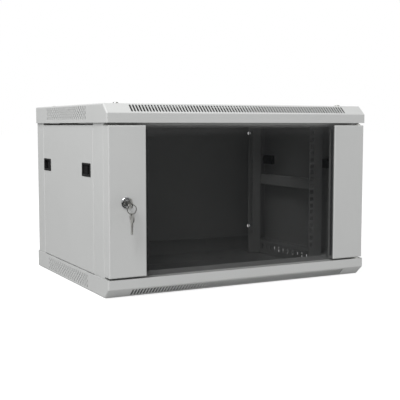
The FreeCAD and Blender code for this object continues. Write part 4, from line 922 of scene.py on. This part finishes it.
def make_rails():
    """Four angles with three square holes to each rack unit."""
    inner = BRACKET_FACE - RAIL_FACE
    for place, y in RAIL_PLACES.items():
        outline = folded_outline([(inner, y), (BRACKET_FACE, y), (BRACKET_FACE, y + RAIL_FLANGE)],
                                 RAIL_SHEET, RAIL_BEND)
        rail = mesh_from("rail_" + place + "_right_punched", extrude, outline, UP, -RAIL_END, RAIL_END)
        for step in (-1, 0, 1):
            pierce(rail, (1, UNITS), (0.0, UNIT_HEIGHT), RAIL_HOLE, RAIL_HOLE_CORNER, 6 * SHEET,
                   (inner + RAIL_HOLE_IN, y, step * RAIL_HOLE_STEP), (math.pi / 2, 0, 0))
        cut(rail, screw_holes, "rail_screws")
        dress_twins(rail, "frame")


make_brackets()
make_braces()
make_rails()


# ---- side panels and latches ----
PANEL_SHEET = 1.0 * MM
PANEL_RETURN = 12.0 * MM
PANEL_TAB_DROP = 8.0 * MM
PANEL_TAB_INSET = 60.0 * MM
PANEL_TAB_HALF = 20.0 * MM
LATCHES = (("front", -329.0 * MM, -1), ("rear", -75.0 * MM, 1))   # name, middle, way it points
LATCH_FRAME = (50.0 * MM, 27.0 * MM)
LATCH_BODY = (38.0 * MM, 22.0 * MM)
LATCH_DEPTH = 10.0 * MM
LATCH_PROUD = 0.8 * MM
LATCH_WALL = 1.6 * MM
LATCH_GAP = 0.4 * MM
LATCH_THUMB = 19.0 * MM
LATCH_SUNK = 1.5 * MM
LATCH_POCKET = LATCH_BODY[0] / 2 - LATCH_WALL - LATCH_GAP
TONGUE_SIZE = (3.0 * MM, 10.0 * MM)
TONGUE_OUTER = 292.5 * MM


def make_side_panels():
    low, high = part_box("side_panel_right")
    foot = low[2] + PANEL_TAB_DROP
    middle = Vector((BODY_SIDE, (low[1] + high[1]) / 2, (foot + high[2]) / 2))
    panel = mesh_from("side_panel_right_folded", pan, middle, REAR,
                      (high[1] - low[1], high[2] - foot), PANEL_RETURN, PANEL_SHEET)
    for y in (low[1] + PANEL_TAB_INSET, high[1] - PANEL_TAB_INSET):
        join(panel, block, (BODY_SIDE - 2 * MM, y - PANEL_TAB_HALF, low[2]),
             (BODY_SIDE - MM, y + PANEL_TAB_HALF, foot + MM))
    half_y, half_z = LATCH_BODY[0] / 2, LATCH_BODY[1] / 2
    for place, y, point in LATCHES:
        cut(panel, block, (BODY_SIDE - 3 * MM, y - half_y, LATCH_Z - half_z),
            (BODY_SIDE + MM, y + half_y, LATCH_Z + half_z))
    for y in (low[1], high[1]):
        cut(panel, tongue_hole, y)
    dress_twins(panel, "panel_right")


def latch_housing(work, y):
    """Frame and pocket in one moulding: soft outer edge, drafted pocket, round corners."""
    inner = BODY_SIDE - LATCH_DEPTH
    face = BODY_SIDE + LATCH_PROUD
    mouth = [size - 2 * LATCH_WALL for size in LATCH_BODY]
    steps = ((LATCH_BODY, 0.0, 1.0, inner), (LATCH_BODY, 0.0, 1.0, BODY_SIDE),
             (LATCH_FRAME, 0.0, 2.0, BODY_SIDE), (LATCH_FRAME, 0.0, 2.0, face - 0.4 * MM),
             (LATCH_FRAME, -0.3, 1.8, face - 0.1 * MM), (LATCH_FRAME, -0.7, 1.6, face),
             (mouth, 0.6, 1.6, face), (mouth, 0.1, 1.2, face - 0.4 * MM),
             (mouth, -0.2, 0.8, inner + LATCH_WALL))
    rings = []
    for (across, up), grow, corner, x in steps:
        outline = rounded_rectangle(across + 2 * grow * MM, up + 2 * grow * MM, corner * MM, 5)
        rings.append([(x, y + a, LATCH_Z + b) for a, b in outline])
    loft(work, rings)


def latch_slider(work, y, point):
    """Side view of the thumb block, with three rounded finger ribs, made wide."""
    start = y - point * LATCH_POCKET
    half = LATCH_BODY[1] / 2 - LATCH_WALL - LATCH_GAP
    floor = BODY_SIDE - LATCH_DEPTH + LATCH_WALL + LATCH_GAP
    top = BODY_SIDE - LATCH_SUNK
    outline = [(floor, 0.0), (top - 0.6 * MM, 0.0), (top, 0.8 * MM)]
    for i in range(3):
        near = (3.0 + 5.0 * i) * MM
        outline += [(top + 1.0 * MM * math.sin(math.pi * step / 6), near + 2.4 * MM * step / 6)
                    for step in range(7)]
    outline += [(top, LATCH_THUMB - 0.8 * MM), (top - 0.6 * MM, LATCH_THUMB), (floor, LATCH_THUMB)]
    extrude(work, [(x, start + point * along) for x, along in outline], UP, LATCH_Z - half, LATCH_Z + half)


def make_latches():
    thick, tall = TONGUE_SIZE
    for place, y, point in LATCHES:
        housing = mesh_from("latch_housing_right_" + place + "_moulded", latch_housing, y)
        gate = y + point * LATCH_BODY[0] / 2
        cut(housing, block,
            (TONGUE_OUTER - thick - LATCH_GAP, gate - 3 * MM, LATCH_Z - tall / 2 - LATCH_GAP),
            (TONGUE_OUTER + LATCH_GAP, gate + 3 * MM, LATCH_Z + tall / 2 + LATCH_GAP))
        slider = mesh_from("latch_slider_right_" + place + "_moulded", latch_slider, y, point)
        low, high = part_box("latch_slider_right_" + place)
        tip = low[1] if point < 0 else high[1]
        root = y - point * (LATCH_POCKET - LATCH_THUMB + MM)
        join(slider, block, (TONGUE_OUTER - thick, root, LATCH_Z - tall / 2),
             (TONGUE_OUTER, tip, LATCH_Z + tall / 2))
        dress_twins(housing, "panel_right")
        dress_twins(slider, "slider_right_" + place)


make_side_panels()
make_latches()


# ---- door ----
LOCK_SIDE_DEEPER = 4.9 * MM  # the lock side closes up to the post; the hinge side needs room
LOCK_BORE_R = 9.15 * MM
DOOR_FRONT = -450.0 * MM
LOCK_PLACE = Vector((-261.2 * MM, DOOR_FRONT, -2.0 * MM))
STRIP_INNER = 220.5 * MM
LEDGE_SHEET = 1.5 * MM
LEDGE_BEND = 2.3 * MM
ARRIS = 0.6 * MM


def make_door_strips():
    """Two folded pans, open to the rear; the left one is bored for the lock."""
    low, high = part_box("door_strip_right")
    middle = Vector(((low[0] + high[0]) / 2, DOOR_FRONT, (low[2] + high[2]) / 2))
    size = (high[0] - low[0], high[2] - low[2])
    depth = high[1] - low[1]
    right = mesh_from("door_strip_right_folded", pan, middle, RIGHT, size, depth, SHEET)
    left = mesh_from("door_strip_left_folded", pan, MIRROR_X @ middle, RIGHT, size,
                     depth + LOCK_SIDE_DEEPER, SHEET)
    cut(right, bore, Vector((HINGE_X, HINGE_Y, 0)), UP, PIN_HOLE_R, BEYOND)
    cut(left, bore, LOCK_PLACE, REAR, LOCK_BORE_R, 4 * MM, 32)
    dress(right, "door")
    dress(left, "door")


def pane(work):
    """The pane, with its edges ground to a small round arris and its corners eased."""
    low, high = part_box("door_glass")
    middle_z = (low[2] + high[2]) / 2
    turns = [math.pi / 2 * i / 3 for i in range(4)]
    steps = [(low[1] + ARRIS * (1 - math.cos(t)), ARRIS * (1 - math.sin(t))) for t in turns]
    steps += [(high[1] - ARRIS * (1 - math.cos(t)), ARRIS * (1 - math.sin(t))) for t in turns[::-1]]
    rings = []
    for y, inset in steps:
        outline = rounded_rectangle(2 * (high[0] - inset), high[2] - low[2] - 2 * inset, 2 * MM - inset, 4)
        rings.append([(a, y, middle_z + b) for a, b in outline])
    loft(work, rings)


def make_ledges():
    low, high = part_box("glass_ledge_right")
    outline = folded_outline([(low[0], low[1]), (STRIP_INNER, low[1]), (STRIP_INNER, high[1])],
                             LEDGE_SHEET, LEDGE_BEND)
    ledge = mesh_from("glass_ledge_right_folded", extrude, outline, UP, low[2], high[2])
    dress_twins(ledge, "door")


make_door_strips()
dress(mesh_from("door_glass_ground", pane), "door")
make_ledges()


# ---- lock and keys; their sizes are in millimetres ----
LOCK_PLUG_HOLE_R = 6.55
LOCK_BARREL_R = 9.0
LOCK_THREADS = 20
KEY_THICK = 2.0
KEY_WIDTH = 7.0
KEY_SHOULDER = 3.0          # distances out of the door's front plane
KEY_TIP = -13.0
BOW_MIDDLE = 18.5
BOW_R = 10.0
KEY_HOLE = 24.5
KEY_HOLE_R = 2.4
KEY_CUTS = (1.6, 0.6, 2.0, 1.2, 1.8)
SPARE_DROP = 20.6           # hole of the hanging key below the hole of the first
RING_R = 9.0
RING_WIRE = 1.6
RING_DROP = 10.3            # middle of the ring below the key's middle
RING_STEPS = 96
HOLE_PLACE = LOCK_PLACE + OUT * KEY_HOLE * MM


def turned_in_mm(work, place, axis, profile, steps, closed=False):
    turned(work, place, axis, [(radius * MM, along * MM) for radius, along in profile], steps, closed)


def make_lock():
    """Zinc casting with a rounded bezel, a sunk throat and a threaded barrel, with the plug
    that turns in it and the nut that holds it in the door."""
    profile = [(LOCK_PLUG_HOLE_R, -26.0), (LOCK_PLUG_HOLE_R, 0.4), (7.3, 0.6), (8.0, 1.9),
               (8.4, 2.35), (8.9, 2.5), (9.7, 2.4), (10.4, 2.0), (10.9, 1.4), (11.2, 0.7),
               (11.25, 0.0), (LOCK_BARREL_R, 0.0)]
    for i in range(LOCK_THREADS):
        y = -5.5 - 20.0 * i / LOCK_THREADS
        profile += [(LOCK_BARREL_R, y), (LOCK_BARREL_R - 0.5, y - 0.5)]
    profile += [(LOCK_BARREL_R - 0.3, -26.0)]
    body = mesh_from("lock_body_cast", turned_in_mm, LOCK_PLACE, OUT, profile, 48, True)
    soften(body)
    dress(body, "door")

    plug = mesh_from("lock_plug_turned", turned_in_mm, LOCK_PLACE, OUT,
                     [(5.6, 1.2), (6.2, 1.1), (6.45, 0.8), (6.45, -27.0), (6.0, -29.4)], 40)
    half_keyway = Vector((KEY_THICK / 2 + 0.2, 0, KEY_WIDTH / 2 + 0.2)) * MM
    cut(plug, block, LOCK_PLACE - half_keyway - REAR * 4 * MM, LOCK_PLACE + half_keyway + REAR * 13.4 * MM)
    soften(plug)
    dress(plug, "lock_core")

    profile = [(12.0, 0.0), (12.7, 0.5), (12.7, 4.0), (12.0, 4.5), (9.05, 4.5), (9.05, 0.0)]
    seat = LOCK_PLACE + REAR * SHEET
    nut = mesh_from("lock_nut_pressed", turned_in_mm, seat, REAR, profile, 6, True)
    dress(nut, "door")


def key_outline():
    """Key seen from its side, as (out, up): round the bow, then stop, cuts and tip."""
    half = KEY_WIDTH / 2
    root = math.pi - math.asin(half / BOW_R)
    outline = [(BOW_MIDDLE + a, b) for a, b in circle_points(BOW_R, 37, root, -2 * root)]
    outline += [(KEY_SHOULDER + 0.8, -half), (KEY_SHOULDER + 0.8, -half - 1.2),
                (KEY_SHOULDER, -half - 1.2), (KEY_SHOULDER, -half)]
    first = KEY_SHOULDER - 1.0
    step = (first - KEY_TIP - 2.0) / len(KEY_CUTS)
    for i, depth in enumerate(KEY_CUTS):
        near = first - i * step
        outline += [(near, -half), (near - 0.35 * step, -half + depth), (near - 0.65 * step, -half + depth)]
    return outline + [(KEY_TIP + 1.6, -half), (KEY_TIP, -0.6), (KEY_TIP, 0.6), (KEY_TIP + 1.2, half)]


def key_shape(work):
    x, y, z = LOCK_PLACE
    half = KEY_THICK / 2 * MM
    extrude(work, [(y - out * MM, z + up * MM) for out, up in key_outline()], RIGHT, x - half, x + half)
    bmesh.ops.bevel(work, geom=list(work.edges), offset=0.18 * MM, segments=1, affect="EDGES")


def make_keys():
    """One key in the lock, its twin hanging from the split ring."""
    key = mesh_from("lock_key_cut", key_shape)
    cut(key, bore, HOLE_PLACE, RIGHT, KEY_HOLE_R * MM, 3 * MM)
    for side in (-RIGHT, RIGHT):
        face = LOCK_PLACE + OUT * (BOW_MIDDLE - 2.6) * MM + side * (KEY_THICK / 2 - 0.3) * MM
        cut(key, turned_in_mm, face, side, [(4.6, 0), (5.2, 2)], 32)
    hang = Matrix.Translation(HOLE_PLACE - UP * SPARE_DROP * MM)
    spare = copy_of(key, "spare_key_cut",
                    hang @ Matrix.Rotation(-math.pi / 2, 4, "X") @ Matrix.Translation(-HOLE_PLACE))
    dress(key, "key")
    dress(spare, "second_key")


def ring_wire(work):
    """Flat spring wire wound twice round, so that the coils lie against each other."""
    middle = HOLE_PLACE - UP * RING_DROP * MM
    coil = RING_WIRE / 2
    section = rounded_rectangle(RING_WIRE * MM, 0.94 * coil * MM, 0.2 * MM, 3)
    rings = []
    for i in range(RING_STEPS + 1):
        turn = 4 * math.pi * i / RING_STEPS + 0.6
        spoke = RIGHT * math.cos(turn) + UP * math.sin(turn)
        jog = min(1.0, max(0.0, (i - 36) / 24)) - 0.5
        place = middle + OUT * jog * coil * MM + spoke * RING_R * MM
        rings.append([place + spoke * a + OUT * b for a, b in section])
    loft(work, rings)


make_lock()
make_keys()
key_ring = mesh_from("key_ring_wound", ring_wire)
soften(key_ring)
dress(key_ring, "ring")


# ---- floor, light and camera ----
scene = bpy.context.scene
scene.view_settings.view_transform = "Standard"

TABLE_GLOW = 0.5            # light that the table throws up under the object
SEEN_GLOW = 1.38
WORLD_LIGHT = 0.44
FLOOR_REACH = 30.0
CAMERA_PLACE = (-0.8615, -1.8946, 0.1425)
CAMERA_TURN = 0.48216       # radians, towards +X from straight ahead
CAMERA_DROP = 0.08903       # radians below level
CAMERA_LENS = 74.79


def seen_rays(tree):
    """1 for a ray that shows the backdrop itself, straight or through glass."""
    path = add(tree, "ShaderNodeLightPath")
    return add(tree, "ShaderNodeMath", {0: path.outputs["Is Camera Ray"],
                                        1: path.outputs["Is Transmission Ray"]}, operation="MAXIMUM")


def lit_table(tree):
    """A pale lit table: white to the eye but for a soft shadow, lighting the object from
    below, and dark where gloss and glass mirror it."""
    seen = seen_rays(tree)
    diffuse_ray = add(tree, "ShaderNodeLightPath").outputs["Is Diffuse Ray"]
    shade = add(tree, "ShaderNodeMapRange", {"Value": diffuse_ray, "To Min": 0.08, "To Max": 0.8})
    pale = add(tree, "ShaderNodeMath", {0: seen, 1: shade}, operation="MAXIMUM")
    under = add(tree, "ShaderNodeMath", {0: diffuse_ray, 1: TABLE_GLOW}, operation="MULTIPLY")
    strength = add(tree, "ShaderNodeMath", {0: seen, 1: SEEN_GLOW, 2: under}, operation="MULTIPLY_ADD")
    lit = add(tree, "ShaderNodeBsdfDiffuse", {"Color": pale})
    glow = add(tree, "ShaderNodeEmission", {"Color": linear("#FFFFFF"), "Strength": strength})
    return add(tree, "ShaderNodeMixShader", {"Fac": 0.6, 1: lit, 2: glow})


def make_floor():
    z = cad_bounds[0][2] - 0.5 * MM
    corners = [(-1, -1), (1, -1), (1, 1), (-1, 1)]
    mesh = bpy.data.meshes.new("studio_floor")
    mesh.from_pydata([(x * FLOOR_REACH, y * FLOOR_REACH, z) for x, y in corners], [], [(0, 1, 2, 3)])
    mesh.materials.append(new_material("studio_floor", lit_table))
    scene_object("studio_floor", mesh)


def make_world():
    scene.world = bpy.data.worlds.new("studio")
    scene.world.use_nodes = True
    tree = scene.world.node_tree
    tree.nodes.clear()
    strength = add(tree, "ShaderNodeMapRange",
                   {"Value": seen_rays(tree), "To Min": WORLD_LIGHT, "To Max": 1.0})
    background = add(tree, "ShaderNodeBackground", {"Color": linear("#FFFFFF"), "Strength": strength})
    add(tree, "ShaderNodeOutputWorld", {"Surface": background})


def area_light(name, place, target, size, power):
    data = bpy.data.lights.new(name, "AREA")
    data.shape = "SQUARE"
    data.size = size
    data.energy = power
    lamp = scene_object(name, data)
    lamp.location = place
    lamp.rotation_euler = (Vector(target) - Vector(place)).to_track_quat("-Z", "Y").to_euler()


def make_camera():
    data = bpy.data.cameras.new("camera")
    data.lens = CAMERA_LENS
    data.sensor_width = 36.0
    data.clip_start = 0.01
    data.clip_end = 200.0
    camera = scene_object("camera", data)
    camera.location = CAMERA_PLACE
    camera.rotation_euler = (math.pi / 2 - CAMERA_DROP, 0, -CAMERA_TURN)
    scene.camera = camera


make_floor()
make_world()
area_light("key_light", (-1.8, -1.3, 2.8), (0, -0.2, 0), 2.0, 110.0)
area_light("fill_light", (2.4, -1.8, 0.2), (0, -0.3, 0), 1.0, 7.0)
make_camera()
